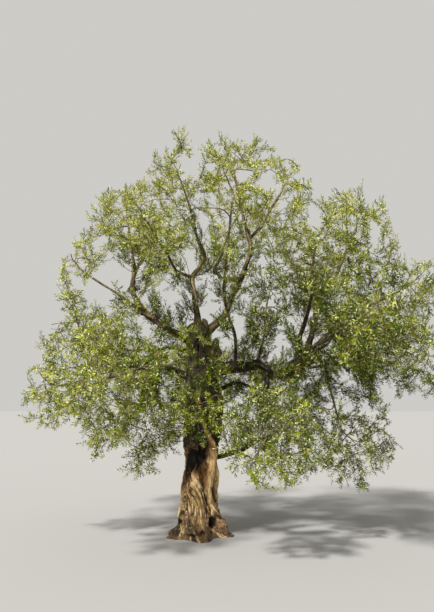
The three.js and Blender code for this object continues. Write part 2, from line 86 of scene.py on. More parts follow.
# The limbs: name, parent, share of the parent's length where it leaves, end or the mass that it
# carries, radii at its ends, and bends.
LIMBS = [
    ("left_limb", "trunk", 0.9, (-1.14, -0.1, 4.07), (0.092, 0.072), [(-0.62, -0.06, 3.72)]),
    ("left_rise", "left_limb", 0.97, "left_upper", (0.07, 0.038),
     [(-1.31, -0.06, 4.45), (-1.29, 0.02, 4.85)]),
    ("left_arm", "left_limb", 0.82, "left_far", (0.042, 0.026), [(-1.5, -0.08, 4.33)]),
    ("middle_limb", "trunk", 0.93, "crown_top_left", (0.074, 0.034),
     [(-0.11, 0.06, 4.25), (-0.18, 0.1, 4.75), (0.06, 0.06, 5.2)]),
    ("middle_arm", "middle_limb", 0.5, "left_high_front", (0.04, 0.026), [(-0.48, -0.15, 4.85)]),
    ("right_limb", "trunk", 0.92, "crown_top", (0.086, 0.036),
     [(0.45, 0, 4.01), (0.71, 0, 4.58), (0.96, 0, 5.35)]),
    ("right_fork", "right_limb", 0.72, "crown_top_right", (0.044, 0.03), [(1.16, 0.04, 5.75)]),
    ("cross_limb", "right_limb", 0.45, "crown_back", (0.046, 0.032),
     [(0.42, 0.16, 4.76), (0.25, 0.5, 5.0)]),
    ("east_limb", "trunk", 0.75, (2.01, -0.1, 3.1), (0.125, 0.092),
     [(0.76, -0.06, 3.02), (1.06, -0.1, 3.06), (1.4, -0.11, 2.86)]),
    ("front_limb", "east_limb", 0.3, "crown_front", (0.036, 0.025),
     [(0.62, -0.5, 3.6), (0.42, -1.1, 4.3)]),
    ("centre_limb", "east_limb", 0.5, "centre_right", (0.032, 0.022), [(1.18, 0.06, 3.5)]),
    ("east_upright", "east_limb", 0.93, "right_high_front", (0.062, 0.03),
     [(1.83, -0.35, 3.5), (1.93, -0.9, 4.0)]),
    ("east_rise", "east_limb", 0.98, "right_upper", (0.076, 0.036),
     [(2.09, -0.06, 3.6), (2.24, 0, 4.2), (2.65, 0.1, 4.85)]),
    ("east_back_rise", "east_rise", 0.35, "right_high_back", (0.044, 0.03), [(2.25, 0.6, 4.3)]),
    ("east_arm", "east_rise", 0.1, "right_far_upper", (0.048, 0.028),
     [(2.42, 0.06, 3.64), (2.85, 0.12, 4.02)]),
    ("east_arch", "east_arm", 0.3, "right_far", (0.036, 0.024), [(2.88, -0.06, 3.69)]),
    ("east_drop", "east_limb", 0.9, "right_low", (0.038, 0.024), [(2.3, -0.16, 3.01)]),
    ("east_front_arm", "east_limb", 0.82, "right_middle_front", (0.042, 0.028),
     [(1.9, -0.65, 3.25)]),
    ("east_back_arm", "east_limb", 0.86, "right_middle_back", (0.046, 0.03), [(2.15, 0.7, 3.35)]),
    ("west_limb", "trunk", 0.7, "left_middle", (0.072, 0.034),
     [(-0.42, -0.04, 2.93), (-0.76, -0.06, 3.03), (-1.15, 0, 3.0)]),
    ("west_arm", "west_limb", 0.72, "left_low_tip", (0.032, 0.022), [(-1.75, -0.18, 2.9)]),
    ("west_drop", "west_limb", 0.42, "left_hanging", (0.034, 0.024), [(-1.04, -0.16, 2.87)]),
    ("west_front_arm", "west_limb", 0.3, "left_low_front", (0.042, 0.028), [(-0.78, -0.7, 3.02)]),
    ("back_left_limb", "trunk", 0.82, "left_low_back", (0.062, 0.034), [(-0.62, 0.7, 3.45)]),
    ("back_high_limb", "left_rise", 0.4, "left_high_back", (0.046, 0.032), [(-1.33, 0.8, 5.15)]),
    ("back_limb", "trunk", 0.72, "back_low", (0.056, 0.034), [(0, 0.9, 3.0)]),
    ("back_right_limb", "trunk", 0.66, "right_low_back", (0.06, 0.034), [(0.7, 0.7, 2.75)]),
    ("low_limb", "trunk", 0.34, "right_low_front", (0.058, 0.03),
     [(0.56, -0.12, 1.44), (0.8, -0.42, 1.54)]),
]
BROKEN = [
    ("broken_stump", "trunk", 0.84, (0.3, -0.1, 3.52), (0.095, 0.085), [(0.285, -0.09, 3.26)]),
    ("hanging_spur", "east_limb", 0.52, (1.25, -0.11, 2.53), (0.06, 0.038), [(1.24, -0.1, 2.74)]),
]
# How far a limb's knots wander, as a share of their stretch; how much thicker a limb is at its foot
# and how fast that fades; where it may end in its mass, in shares of the radius from the heart; and
# how far apart the points stand that twigs keep clear of.
KNOT_SHARE = 0.045
COLLAR = {"extra": 0.3, "fade": 12}
ENTRY_SHARES = (0.85, 0.75, 0.65, 0.55, 0.45)
BEAD_STEP = 0.04
# How far apart in the row of even numbers the draws of two limbs or masses begin.
ROW = {"knots": 7, "aims": 101, "tufts": 57, "leaders": 13, "sprays": 31}

# The masses of foliage: name, heart, radius, how far the twigs arch upwards, or hang, and how full
# the mass is, as a share of the rule's number of fine twigs.
MASSES = [
    ("crown_top", (0.6, 0.2, 7.19), 0.95, 0.35, 0.4),
    ("crown_top_left", (-0.4, -0.15, 6.62), 0.95, 0.3, 0.57),
    ("crown_top_right", (1.62, 0.1, 6.55), 0.93, 0.3, 0.5),
    ("crown_front", (0.55, -2.0, 5.55), 0.93, 0.1, 0.27),
    ("crown_back", (0.65, 2.0, 6.4), 1.0, 0.2, 0.34),
    ("left_upper", (-1.48, 0.15, 6.02), 0.92, 0.25, 0.68),
    ("left_high_front", (-0.85, -1.8, 5.3), 0.83, 0.1, 0.55),
    ("left_high_back", (-1.2, 2.15, 5.95), 0.98, 0.15, 0.7),
    ("left_far", (-2.37, 0, 4.93), 0.83, 0, 0.44),
    ("left_middle", (-2.33, 0.15, 3.72), 0.9, -0.1, 0.85),
    ("left_low_tip", (-2.56, -0.35, 2.65), 0.78, -0.25, 0.8),
    ("left_low_front", (-1.35, -2.15, 2.7), 0.93, -0.3, 1),
    ("left_low_back", (-1.9, 2.1, 3.5), 1.03, -0.2, 1),
    ("left_hanging", (-1.15, -0.45, 2.05), 0.88, -0.4, 1.5),
    ("right_upper", (3.08, 0.15, 5.75), 0.98, 0.3, 0.8),
    ("right_high_front", (1.9, -1.95, 4.85), 0.93, 0, 0.7),
    ("right_high_back", (2.45, 2.1, 5.6), 1.03, 0.15, 0.75),
    ("right_far_upper", (3.95, 0.25, 4.55), 0.9, 0.05, 0.8),
    ("right_far", (3.98, -0.05, 3.25), 0.85, -0.2, 1.15),
    ("right_middle_front", (2.75, -2.15, 3.6), 0.88, -0.15, 1),
    ("right_middle_back", (3.3, 2.1, 4.05), 0.98, -0.1, 1),
    ("right_low", (2.55, -0.35, 1.82), 0.95, -0.4, 1.3),
    ("right_low_front", (1.15, -1.95, 1.88), 0.77, -0.35, 1.45),
    ("right_low_back", (1.65, 2.15, 2.55), 1.03, -0.3, 1.1),
    ("back_low", (-0.2, 2.35, 2.9), 0.95, -0.2, 1.05),
    ("centre_right", (1.3, 0.25, 4.35), 0.7, 0.1, 1.2),
    ("trunk_shoots", (-0.02, -0.8, 2.35), 0.52, -0.4, 0.75),
]
FEWER_TWIGS = {"centre_right": 4, "trunk_shoots": 3}
# The crown's outline before the eye, in the plane of the trunk: x, and how high the foliage stands.
OUTLINE = [(-3.45, 2.2), (-3.25, 2.9), (-3.12, 3.4), (-2.89, 4.25), (-2.7, 5.1), (-2.42, 5.8),
           (-2.16, 6.14), (-1.89, 6.47), (-1.61, 6.18), (-1.34, 6.64), (-1.07, 6.95),
           (-0.8, 7.48), (-0.48, 7.7), (-0.24, 7.75), (0.04, 7.6), (0.33, 7.45), (0.53, 7.74),
           (0.77, 7.44), (1.13, 7.55), (1.41, 7.44), (1.68, 7.06), (2.0, 6.97), (2.27, 6.39),
           (2.55, 6.5), (2.82, 6.5), (3.1, 6.62), (3.38, 6.66), (3.65, 6.15), (3.88, 5.4),
           (4.13, 5.05), (4.52, 5.05)]
# The open gaps in it: x and z of the middle, half width and half height.
GAPS = [(-1.32, 4.78, 0.34, 0.22), (-1.98, 4.47, 0.2, 0.28), (-0.09, 6.88, 0.22, 0.2),
        (-0.22, 5.04, 0.14, 0.16), (0.05, 5.85, 0.12, 0.13), (0.83, 6.85, 0.15, 0.14),
        (1.3, 6.64, 0.14, 0.17), (2.29, 6.45, 0.12, 0.14), (2.23, 5.94, 0.09, 0.18),
        (3.44, 5.65, 0.13, 0.12), (2.02, 3.6, 0.17, 0.2)]
# Where the eye is, and its picture in pixels: how high that is, how far the eye is from it, and how
# far below its middle the eye's own level lies.
EYE = np.array((0.306, -11.34, 2.254))
PICTURE = {"height": 612, "distance": 600, "level": 102}
# How ragged the outline and the gaps are: the strength, the cells to a metre and the seed of a
# coarse noise in space, of one in the picture and of a fine one in space. The first two make the
# outline sway, and it is lifted a little.
RAGGED = {"coarse": (0.5, 3, 33), "pictured": (0.6, 4, 34), "fine": (0.55, 9, 35)}
OUTLINE_SWAY = 0.2
OUTLINE_LIFT = 0.13
# The clumps that the foliage stands in: their size, how deep in one a twig has to aim at least, and
# how much deeper some twigs have to, so that the clumps thin out towards their edges.
CLUMPS = {"size": 0.45, "least": -0.5, "soft": 0.75}
# How high the trunk's own shoots leave it, on which bearing, and how thick their stem is.
TRUNK_SHOOTS_FROM = 2.7
FRONT = math.radians(-90)
TRUNK_SHOOTS_STEM = 0.012
# The parts of the crown, each of whose leaves and twigs are joined into pieces.
REGIONS = {
    "top": ["crown_top", "crown_top_left", "crown_top_right", "crown_front", "crown_back",
            "middle_limb", "middle_arm", "right_limb", "right_fork", "cross_limb", "front_limb"],
    "left": ["left_upper", "left_high_front", "left_high_back", "left_far", "left_middle",
             "left_limb", "left_rise", "left_arm", "back_high_limb"],
    "left_low": ["left_low_tip", "left_low_front", "left_low_back", "left_hanging", "back_low",
                 "trunk_shoots", "trunk", "west_limb", "west_arm", "west_drop",
                 "west_front_arm", "back_left_limb", "back_limb"],
    "right": ["right_upper", "right_high_front", "right_high_back", "centre_right", "east_limb",
              "centre_limb", "east_upright", "east_rise", "east_back_rise"],
    "right_far": ["right_far_upper", "right_far", "right_middle_front", "right_middle_back",
                  "east_arm", "east_arch", "east_front_arm", "east_back_arm"],
    "right_low": ["right_low", "right_low_front", "right_low_back", "east_drop",
                  "back_right_limb", "low_limb"],
}

# The rule that stems and twigs grow by, as in the part.
STEM_SHARE = 0.8
TWIGS = 5
STEM_END_RADIUS = 0.018
TWIG_THINNING = (0.66, 0.5)
THINNEST = 0.0065
TWIG_REACH = (0.62, 0.5, 0.38)
LEAVING_SHARE = 0.4
ARCHING_SHARE = 0.5
TWIG_CHECKS = (0.25, 0.5, 0.75, 1)
LIMB_ROOM = 0.025
TWIG_ROOM = 0.02
TWIG_STARTS = (0.3, 0.6, 0.9)
GOLDEN_TURN = math.pi * (3 - math.sqrt(5))
CROWN_HEART = np.array((0.65, 0, 4.6))
SUNWARD = 0.45

# The finer twigs that the rule is carried on to: how many to a mass of one metre, and how many aims
# are tried for each; how far from its heart they aim, and by which power the aims crowd outwards;
# how long they grow at least and most, how far they may stray from its space, how much their tips
# lift, their radii, and where the next may start.
BRANCHLETS = {"count": 108, "tries": 6, "reach": (0.3, 1.08), "outwards": 0.7,
              "lengths": (0.2, 0.55), "stray": 0.1, "lift": 0.05, "radii": (0.007, 0.0035),
              "starts": (0.25, 0.4, 0.55, 0.7, 0.85, 1.0)}
ASIDE = (0.31, 0.22, 0.93)  # a way that no twig runs along, from which turns round it count
BOUGH_COVER = 0.3  # how far under the crown's outline the thick twigs stay
BOUGH_CHECKS = np.linspace(0.15, 1, 8)  # where on them that is looked at
CROOKED = 0.13  # how far a thick twig sways to its sides, as a share of its length
CROOKS = 3.5  # how many turns of that sway there are to a metre
SPLAY = 0.3  # how much dearer a start is that points away from the aim
# The leafy shoots along every branchlet: their distance, how many it has at least, from which share
# of it, their lengths and how these fall along it, how far they spread and how that falls, how much
# further they start out, how much they lift, how far they bow, and their radii.
TUFTS = {"step": 0.054, "fewest": 3, "first": 0.2, "lengths": (0.1, 0.25),
         "shortening": (1.3, 0.6), "splay": 1.05, "narrowing": (1.25, 0.7), "leaving": 1.2,
         "lift": 0.25, "bow": 0.4, "radii": (0.0028, 0.0014)}
SHOOT_STRAY = 0.18  # how far shoots may stray from their mass's space
# Upright shoots that stand out of the top of a mass: how many, their lengths, from which share of
# its radius above its heart, how far they lean, how far they bow, and how far under the crown's
# outline they stay.
LEADERS = {"count": 4, "lengths": (0.2, 0.38), "from": 0.45, "lean": 0.5, "bow": 0.1,
           "cover": 0.25, "radii": (0.0032, 0.0014)}
# How far the finest twigs may stand out of the part's box.
OUTSIDE = 0.11
# Leafy sprays straight on the limbs and the trunk: how many, their length, how far they lift or
# hang, and from which share of the limb they stand.
SPRAYS = {
    "left_limb": (26, 0.5, 0.4, 0.25),
    "left_rise": (24, 0.6, 0.0, 0.05),
    "left_arm": (16, 0.42, 0.1, 0.3),
    "middle_limb": (26, 0.5, 0.3, 0.1),
    "middle_arm": (22, 0.6, -0.2, 0.05),
    "right_limb": (14, 0.45, 0.3, 0.2),
    "right_fork": (6, 0.4, 0.3, 0.1),
    "cross_limb": (16, 0.6, 0.3, 0.2),
    "east_limb": (62, 0.42, 0.05, 0.1),
    "front_limb": (26, 0.5, 0.1, 0.1),
    "centre_limb": (24, 0.5, 0.2, 0.1),
    "east_upright": (24, 0.5, 0.2, 0.1),
    "east_rise": (18, 0.5, 0.2, 0.1),
    "east_back_rise": (16, 0.6, 0.3, 0.1),
    "east_arm": (20, 0.8, -0.5, 0.1),
    "east_arch": (44, 1.1, -0.75, 0.1),
    "east_drop": (20, 0.7, -0.4, 0.1),
    "east_front_arm": (18, 0.7, -0.3, 0.1),
    "east_back_arm": (18, 0.8, -0.5, 0.1),
    "west_limb": (16, 0.45, 0.1, 0.15),
    "west_arm": (8, 0.45, -0.1, 0.1),
    "west_drop": (24, 0.7, -0.45, 0.1),
    "west_front_arm": (10, 0.5, -0.2, 0.1),
    "back_left_limb": (10, 0.5, 0.1, 0.2),
    "back_high_limb": (16, 0.6, 0.2, 0.1),
    "back_limb": (12, 0.5, 0, 0.2),
    "back_right_limb": (16, 0.6, -0.1, 0.2),
    "low_limb": (24, 0.7, 0.5, 0.38),
    "trunk": (58, 0.42, -0.25, 0.42),
}

# Where the last of them stand on a limb; the bearings between which they stand on the trunk, in
# degrees, and how far out of its heart, as a share of its radius; how far they follow the limb, how
# far they lift, how far they bow, and how much more their tips lift or hang; how long the shortest
# are, as a share of the longest; how much of their lift or hang their shoots take on; how many
# straight pieces they have; and how clear of the limbs their shoots stay.
SPRAY = {"last": 0.97, "bearings": (-48, -248), "foot": 0.95, "along": 0.5, "lift": 0.3,
         "bow": 0.4, "droop": 0.35, "shortest": 0.5, "shoots": 0.5, "pieces": 6, "room": 0.01}

# The leaves' plain tints. Sunlit, half-light and shade are one green in painted light and shade;
# silver, young and withered are the leaves' own colours.
TINTS = {
    "sunlit_leaf": "#aeaf4b",
    "green_leaf": "#7e8812",
    "deep_leaf": "#485602",
    "silver_leaf": "#c8ca94",
    "young_leaf": "#aeb056",
    "withered_leaf": "#86613a",
}
SUNLIT, HALF_LIT, SHADED, SILVER, YOUNG, WITHERED = range(len(TINTS))


def linear(code):
    """A colour written as on a paint card, as the light it gives back."""
    shares = [int(code[n:n + 2], 16) / 255 for n in (1, 3, 5)]
    return tuple(s / 12.92 if s <= 0.04045 else ((s + 0.055) / 1.055) ** 2.4 for s in shares)


def even(index, base):
    """Evenly scattered numbers from 0 to 1: the radical inverse of whole numbers."""
    index = np.asarray(index, dtype=np.int64)
    value, share = np.zeros(index.shape), 1 / base
    while index.any():
        value = value + (index % base) * share
        index, share = index // base, share / base
    return value


def unit(vectors):
    """Vectors made one long."""
    vectors = np.asarray(vectors, dtype=float)
    return vectors / np.maximum(np.linalg.norm(vectors, axis=-1, keepdims=True), 1e-9)


def between(ends, share):
    """The value at a share of the way from one to another."""
    start, end = ends
    return start + (end - start) * share


def falling(values, share):
    """A value at a share of a twig, from what it is at the foot and what it loses up to the tip."""
    foot, loss = values
    return foot - loss * share


def smoothstep(value, start, end):
    share = np.clip((value - start) / (end - start), 0, 1)
    return share * share * (3 - 2 * share)


def noise(points, seed=0):
    """Smooth scattered values from -1 to 1, with one rise or dip to each unit of space."""
    cell = np.floor(points).astype(np.int64)
    inside = points - cell
    inside = inside * inside * (3 - 2 * inside)
    total = np.zeros(points.shape[:-1])
    for corner in np.ndindex(2, 2, 2):
        x, y, z = (cell + corner)[..., 0], (cell + corner)[..., 1], (cell + corner)[..., 2]
        mixed = (x * 73856093) ^ (y * 19349663) ^ (z * 83492791) ^ (seed * 2654435761)
        mixed = ((mixed ^ (mixed >> 13)) * 1274126177) & 0xFFFFFFFF
        height = ((mixed ^ (mixed >> 16)) & 0xFFFF) / 32767.5 - 1
        total += height * np.prod(np.where(corner, inside, 1 - inside), axis=-1)
    return total


def layered_noise(points, layers, seed=0):
    """Noise with finer noise on it."""
    return sum(noise(points * 2 ** n, seed + n) / 2 ** n for n in range(layers))


class Line:
    """A smooth line in space, measured by shares of its length."""

    def __init__(self, points):
        self.points = np.asarray(points, dtype=float)
        steps = np.linalg.norm(np.diff(self.points, axis=0), axis=1)
        self.reach = np.concatenate([[0], np.cumsum(steps)])
        self.length = self.reach[-1]

    def at(self, share):
        where = np.asarray(share) * self.length
        return np.stack([np.interp(where, self.reach, axis) for axis in self.points.T], axis=-1)

    def heading(self, share):
        share = np.asarray(share, dtype=float)
        return unit(self.at(np.minimum(share + 0.01, 1)) - self.at(np.maximum(share - 0.01, 0)))


def through(points, pieces=24):
    """A smooth line through a few points."""
    points = np.asarray(points, dtype=float)
    ends = np.vstack([2 * points[0] - points[1], points, 2 * points[-1] - points[-2]])
    t = np.linspace(0, 1, pieces, endpoint=False)[:, None]
    spans = [
        b + t * ((c - a) / 2
                 + t * (a - 2.5 * b + 2 * c - d / 2 + t * (1.5 * (b - c) + (d - a) / 2)))
        for a, b, c, d in zip(ends, ends[1:], ends[2:], ends[3:])
    ]
    return Line(np.vstack([*spans, points[-1:]]))


def bowed(start, bend, end, pieces=12):
    """A line that leaves its start towards the bend, and comes to its end from there."""
    t = np.linspace(0, 1, pieces + 1)[:, None]
    return Line((1 - t) ** 2 * start + 2 * t * (1 - t) * bend + t * t * end)


# The trunk's own skin.


def trunk_radius(height):
    flare = ROOT_FLARE["extra"] * np.exp(-height / ROOT_FLARE["height"])
    shoulder = SHOULDER["loss"] * smoothstep(height, SHOULDER["from"], SHOULDER["to"])
    taper = TAPER * height / TRUNK_HEIGHT
    over = np.maximum(0, (height - ROUNDED_FROM) / (TRUNK_HEIGHT - ROUNDED_FROM))
    return (WAIST_RADIUS + flare - shoulder - taper) * np.sqrt(1 - ROUNDED_BY * over ** 2)


def trunk_axis(height):
    height = np.asarray(height, dtype=float)
    settled = np.minimum(1, height / LEAN["upright"])
    across = LEAN["sway"] * settled * np.sin(2 * math.pi * (height - LEAN["from"]) / LEAN["wave"])
    return np.stack([across, np.zeros_like(across), height], axis=-1)


def aside(angle, bearing):
    """How far an angle lies from a bearing in degrees, in degrees either way."""
    return (np.degrees(angle) - bearing + 180) % 360 - 180


def trunk_skin_radius(angle, height):
    rooted = BUTTRESSES["depth"] * np.exp(-height / BUTTRESSES["height"])
    swing = BUTTRESSES["count"] * angle + BUTTRESSES["turn"] + BUTTRESSES["twist"] * height
    flute = FLUTES["count"] * angle + FLUTES["turn"] + FLUTES["twist"] * height
    radius = trunk_radius(height) * (1 + rooted * np.cos(swing) + FLUTES["depth"] * np.cos(flute))
    for bearing, middle, half_width, half_height, depth in HOLLOWS:
        across = np.exp(-(aside(angle, bearing) / half_width) ** 2)
        radius = radius - depth * across * np.exp(-((height - middle) / half_height) ** 2)
    return radius


# Where limbs and twigs run.

NAMES = [mass[0] for mass in MASSES]
HEARTS = np.array([mass[1] for mass in MASSES], dtype=float)
RADII = np.array([mass[2] for mass in MASSES])
ARCHES = np.array([mass[3] for mass in MASSES])
FULLNESS = [mass[4] for mass in MASSES]
APART = np.linalg.norm(HEARTS[:, None] - HEARTS[None], axis=-1)


def owned(mass, points, room):
    """Whether points lie in a mass's own space, with room to spare, or not far out of it where the
    room is below 0."""
    power = ((points[..., None, :] - HEARTS) ** 2).sum(-1) - RADII ** 2
    own = power[..., mass]
    clear = power - own[..., None] > 2 * room * APART[mass]
    clear[..., mass] = True
    return (own <= 2 * max(0, -room) * RADII[mass]) & clear.all(-1)


def in_box(points):
    """Whether points lie in the part's box, or hardly outside it."""
    low, high = np.array(PART_BOX)
    return ((points > low - OUTSIDE) & (points < high + OUTSIDE)).all(-1)


def knotted(points, seed):
    """The points of a limb, with a knot at the middle of each stretch between two bends."""
    path = [points[0]]
    for n, (start, end) in enumerate(zip(points, points[1:]), 1):
        wander = np.linalg.norm(end - start) * KNOT_SHARE
        index = seed * ROW["knots"] + n
        aside_by = np.array([2 * even(index, base) - 1 for base in (2, 3, 5)]) * wander
        path += [(start + end) / 2 + aside_by, end]
    return path


def entry(mass, start):
    """Where a limb that comes from a point enters a mass."""
    inward = unit(HEARTS[mass] - start)
    points = [HEARTS[mass] - inward * share * RADII[mass] for share in ENTRY_SHARES]
    return next((point for point in points if owned(mass, point, LIMB_ROOM)), points[-1])


def limb_radius(radii, share):
    return between(radii, share) * (1 + COLLAR["extra"] * np.exp(-share * COLLAR["fade"]))


@functools.cache
def limb_lines():
    """Every limb's line, the trunk's first."""
    heights = np.linspace(0, TRUNK_HEIGHT, TRUNK_POINTS)
    lines = {"trunk": through(trunk_axis(heights))}
    for seed, (name, parent, share, end, _, bends) in enumerate([*LIMBS, *BROKEN], 1):
        bends = [np.array(bend, dtype=float) for bend in bends]
        end = entry(NAMES.index(end), bends[-1]) if isinstance(end, str) else np.array(end)
        lines[name] = through(knotted([lines[parent].at(share), *bends, end], seed))
    return lines


@functools.cache
def beads():
    """Points and radii along the trunk and limbs, which twigs keep clear of."""
    radii = {name: pair for name, _, _, _, pair, _ in [*LIMBS, *BROKEN]}
    places, sizes = [], []
    for name, line in limb_lines().items():
        shares = np.linspace(0, 1, math.ceil(line.length / BEAD_STEP) + 1)
        places.append(line.at(shares))
        sizes.append(trunk_radius(shares * TRUNK_HEIGHT) if name == "trunk"
                     else limb_radius(radii[name], shares))
    return np.vstack(places), np.concatenate(sizes)


def clear_of_limbs(points, room):
    places, sizes = beads()
    apart = ((points[..., None, :] - places) ** 2).sum(-1)
    return (apart > (sizes + room) ** 2).all(-1)


def clumped(points):
    """How deep in a clump of foliage points lie: below 0 between the clumps."""
    return layered_noise(points / CLUMPS["size"], 2, 31)


def raggedness(kind, points):
    strength, cells, seed = RAGGED[kind]
    return strength * noise(cells * points, seed)


def shown(points):
    """Whether foliage stands at points: under the crown's outline, and outside its gaps."""
    share = (-EYE[1] / (points[..., 1] - EYE[1]))[..., None]
    place = EYE + (points - EYE) * share
    across, height = place[..., 0], place[..., 2]
    ragged = 1 + raggedness("coarse", points) + raggedness("pictured", place)
    top = np.interp(across, *zip(*OUTLINE)) + OUTLINE_SWAY * (ragged - 1) + OUTLINE_LIFT
    wanted = height < top
    ragged = ragged + raggedness("fine", points)
    for x, z, half_width, half_height in GAPS:
        wanted &= np.hypot((across - x) / half_width, (height - z) / half_height) > ragged
    return wanted


def tufted(branchlets, arch, seed, allowed):
    """Leafy shoots along branchlets, spread round them, where their points are allowed."""
    if not branchlets:
        return []
    numbers = [max(TUFTS["fewest"], round(line.length / TUFTS["step"])) for line, _ in branchlets]
    numbers = np.array(numbers)[:, None]
    count, each = len(branchlets), numbers.max()
    index = np.arange(1, count * each + 1) + ROW["tufts"] * seed
    draws = [even(index, base).reshape(count, each) for base in (2, 3, 5)]
    first = TUFTS["first"]
    share = first + (1 - first) * (np.arange(each) + draws[0]) / numbers
    share = np.minimum(share, 1)
    at = np.stack([line.at(s) for (line, _), s in zip(branchlets, share)])
    heading = np.stack([line.heading(s) for (line, _), s in zip(branchlets, share)])
    side = unit(np.cross(heading, ASIDE))
    turn = (np.arange(each) * GOLDEN_TURN + np.arange(count)[:, None] + draws[1])[..., None]
    out = side * np.cos(turn) + np.cross(heading, side) * np.sin(turn)
    least, most = TUFTS["lengths"]
    length = least + (most - least) * draws[2] * falling(TUFTS["shortening"], share)
    splay = (TUFTS["splay"] * falling(TUFTS["narrowing"], share))[..., None]
    way = unit(heading + splay * out + (0, 0, TUFTS["lift"] + arch))
    tip = at + way * length[..., None]
    leaving = unit(heading + TUFTS["leaving"] * splay * out)
    bend = at + leaving * TUFTS["bow"] * length[..., None]
    checked = np.stack([0.25 * at + 0.5 * bend + 0.25 * tip, tip], axis=-2)
    kept = (allowed(checked) & in_box(checked) & shown(checked)).all(-1)
    kept &= np.arange(each) < numbers
    ends = zip(at[kept], bend[kept], tip[kept])
    return [(bowed(*three, FINE_PIECES), TUFTS["radii"]) for three in ends]


class Mass:
    """The twigs of one mass of foliage, and the spots on them where the next ones may start."""

    def __init__(self, name, seed, tip, heading, stem_radius):
        self.name, self.seed = name, seed
        self.index = NAMES.index(name)
        self.heart, self.radius = HEARTS[self.index], RADII[self.index]
        self.arch = ARCHES[self.index]
        self.boughs, self.branchlets, self.shoots = [], [], []
        bend = tip + heading * LEAVING_SHARE * np.linalg.norm(tip - self.heart)
        stem = (bowed(tip, bend, self.heart), (stem_radius, min(STEM_END_RADIUS, stem_radius)))
        self.boughs.append(stem)
        self.grow_boughs(self.starts(*stem, TWIG_STARTS))
        self.spots = [spot for bough in self.boughs
                      for spot in self.starts(*bough, BRANCHLETS["starts"])]
        self.grow_branchlets()
        self.shoots = tufted(self.branchlets, self.arch, seed, self.allowed)
        self.grow_leaders()

    def allowed(self, points):
        return owned(self.index, points, -SHOOT_STRAY) & clear_of_limbs(points, LIMB_ROOM)

    @staticmethod
    def starts(line, radii, shares):
        return [(line.at(s), line.heading(s), between(radii, s)) for s in shares]

    def twig(self, start, aim):
        at, heading, _ = start
        length = np.linalg.norm(aim - at)
        bend = at + heading * LEAVING_SHARE * length
        bend[2] += ARCHING_SHARE * self.arch * length
        line = bowed(at, bend, aim)
        share = np.linspace(0, 1, len(line.points))[:, None]
        sway = [noise(CROOKS * line.points, 50 + n) for n in range(3)]
        sway = np.stack(sway, axis=-1)
        return Line(line.points + CROOKED * length * np.sin(math.pi * share) * sway)

    def fits(self, line, room=TWIG_ROOM):
        points = line.at(TWIG_CHECKS)
        return bool((owned(self.index, points, room) & clear_of_limbs(points, LIMB_ROOM)).all())

    def grow_boughs(self, starts):
        """The mass's few thick twigs, which are the part's own."""
        count = FEWER_TWIGS.get(self.name, TWIGS)
        light = unit(self.heart - CROWN_HEART)
        for n in range(count):
            rise = 1 - (2 * n + 1) / count
            turn = n * GOLDEN_TURN + 2 * math.pi * even(self.seed, 2)
            flat = math.sqrt(1 - rise * rise)
            direction = np.array((flat * math.cos(turn), flat * math.sin(turn), rise))
            direction = unit(direction + light * SUNWARD)
            for reach in TWIG_REACH:
                aim = self.heart + direction * reach * self.radius
                nearest = min(range(len(starts)), key=lambda k: np.linalg.norm(starts[k][0] - aim))
                line = self.twig(starts[nearest], aim)
                low = line.at(BOUGH_CHECKS)
                high = low + (0, 0, BOUGH_COVER)
                if self.fits(line) and (shown(low) & shown(high)).all():
                    radii = [max(THINNEST, share * starts[nearest][2]) for share in TWIG_THINNING]
                    self.boughs.append((line, radii))
                    starts[nearest:nearest + 1] = self.starts(line, radii, TWIG_STARTS)
                    break

    def aims(self):
        """Evenly scattered points of the mass's own space, the ones nearest its twigs first."""
        rule = BRANCHLETS
        index = np.arange(1, rule["count"] * rule["tries"]) + ROW["aims"] * self.seed
        rise, turn = 2 * even(index, 2) - 1, 2 * math.pi * even(index, 3)
        flat = np.sqrt(1 - rise ** 2)
        reach = self.radius * between(rule["reach"], even(index, 5) ** rule["outwards"])
        way = np.stack([flat * np.cos(turn), flat * np.sin(turn), rise], -1)
        aims = self.heart + way * reach[:, None]
        deep_enough = clumped(aims) > CLUMPS["least"] + CLUMPS["soft"] * even(index, 7)
        aims = aims[owned(self.index, aims, -rule["stray"]) & clear_of_limbs(aims, LIMB_ROOM)
                    & deep_enough & shown(aims)]
        aims = aims[:round(rule["count"] * FULLNESS[self.index] * self.radius ** 2)]
        spots = np.array([spot[0] for spot in self.spots])
        nearness = np.linalg.norm(aims[:, None] - spots[None], axis=-1).min(1)
        return aims[np.argsort(nearness)]

    def grow_branchlets(self):
        """Finer twigs: each grows from the nearest spot that heads its way."""
        rule = BRANCHLETS
        aims = self.aims()
        room = len(self.spots) + len(aims) * len(rule["starts"])
        places, headings = np.zeros((room, 3)), np.zeros((room, 3))
        count = len(self.spots)
        places[:count] = [spot[0] for spot in self.spots]
        headings[:count] = [spot[1] for spot in self.spots]
        for aim in aims:
            away = aim - places[:count]
            far = np.linalg.norm(away, axis=1)
            straight = (away * headings[:count]).sum(1) / np.maximum(far, 1e-6)
            best = int(np.argmin(far * (1 + SPLAY * (1 - straight))))
            length = np.clip(far[best], *rule["lengths"])
            tip = places[best] + away[best] / max(far[best], 1e-6) * length
            tip[2] += (self.arch + rule["lift"]) * length
            bend = places[best] + headings[best] * LEAVING_SHARE * length
            line = bowed(places[best], bend, tip, FINE_PIECES)
            if not (self.fits(line, -rule["stray"]) and in_box(line.points).all()
                    and shown(line.at((0.5, 1.0))).all()):
                continue
            self.branchlets.append((line, rule["radii"]))
            for spot in self.starts(line, rule["radii"], rule["starts"]):
                self.spots.append(spot)
                places[count], headings[count] = spot[0], spot[1]
                count += 1

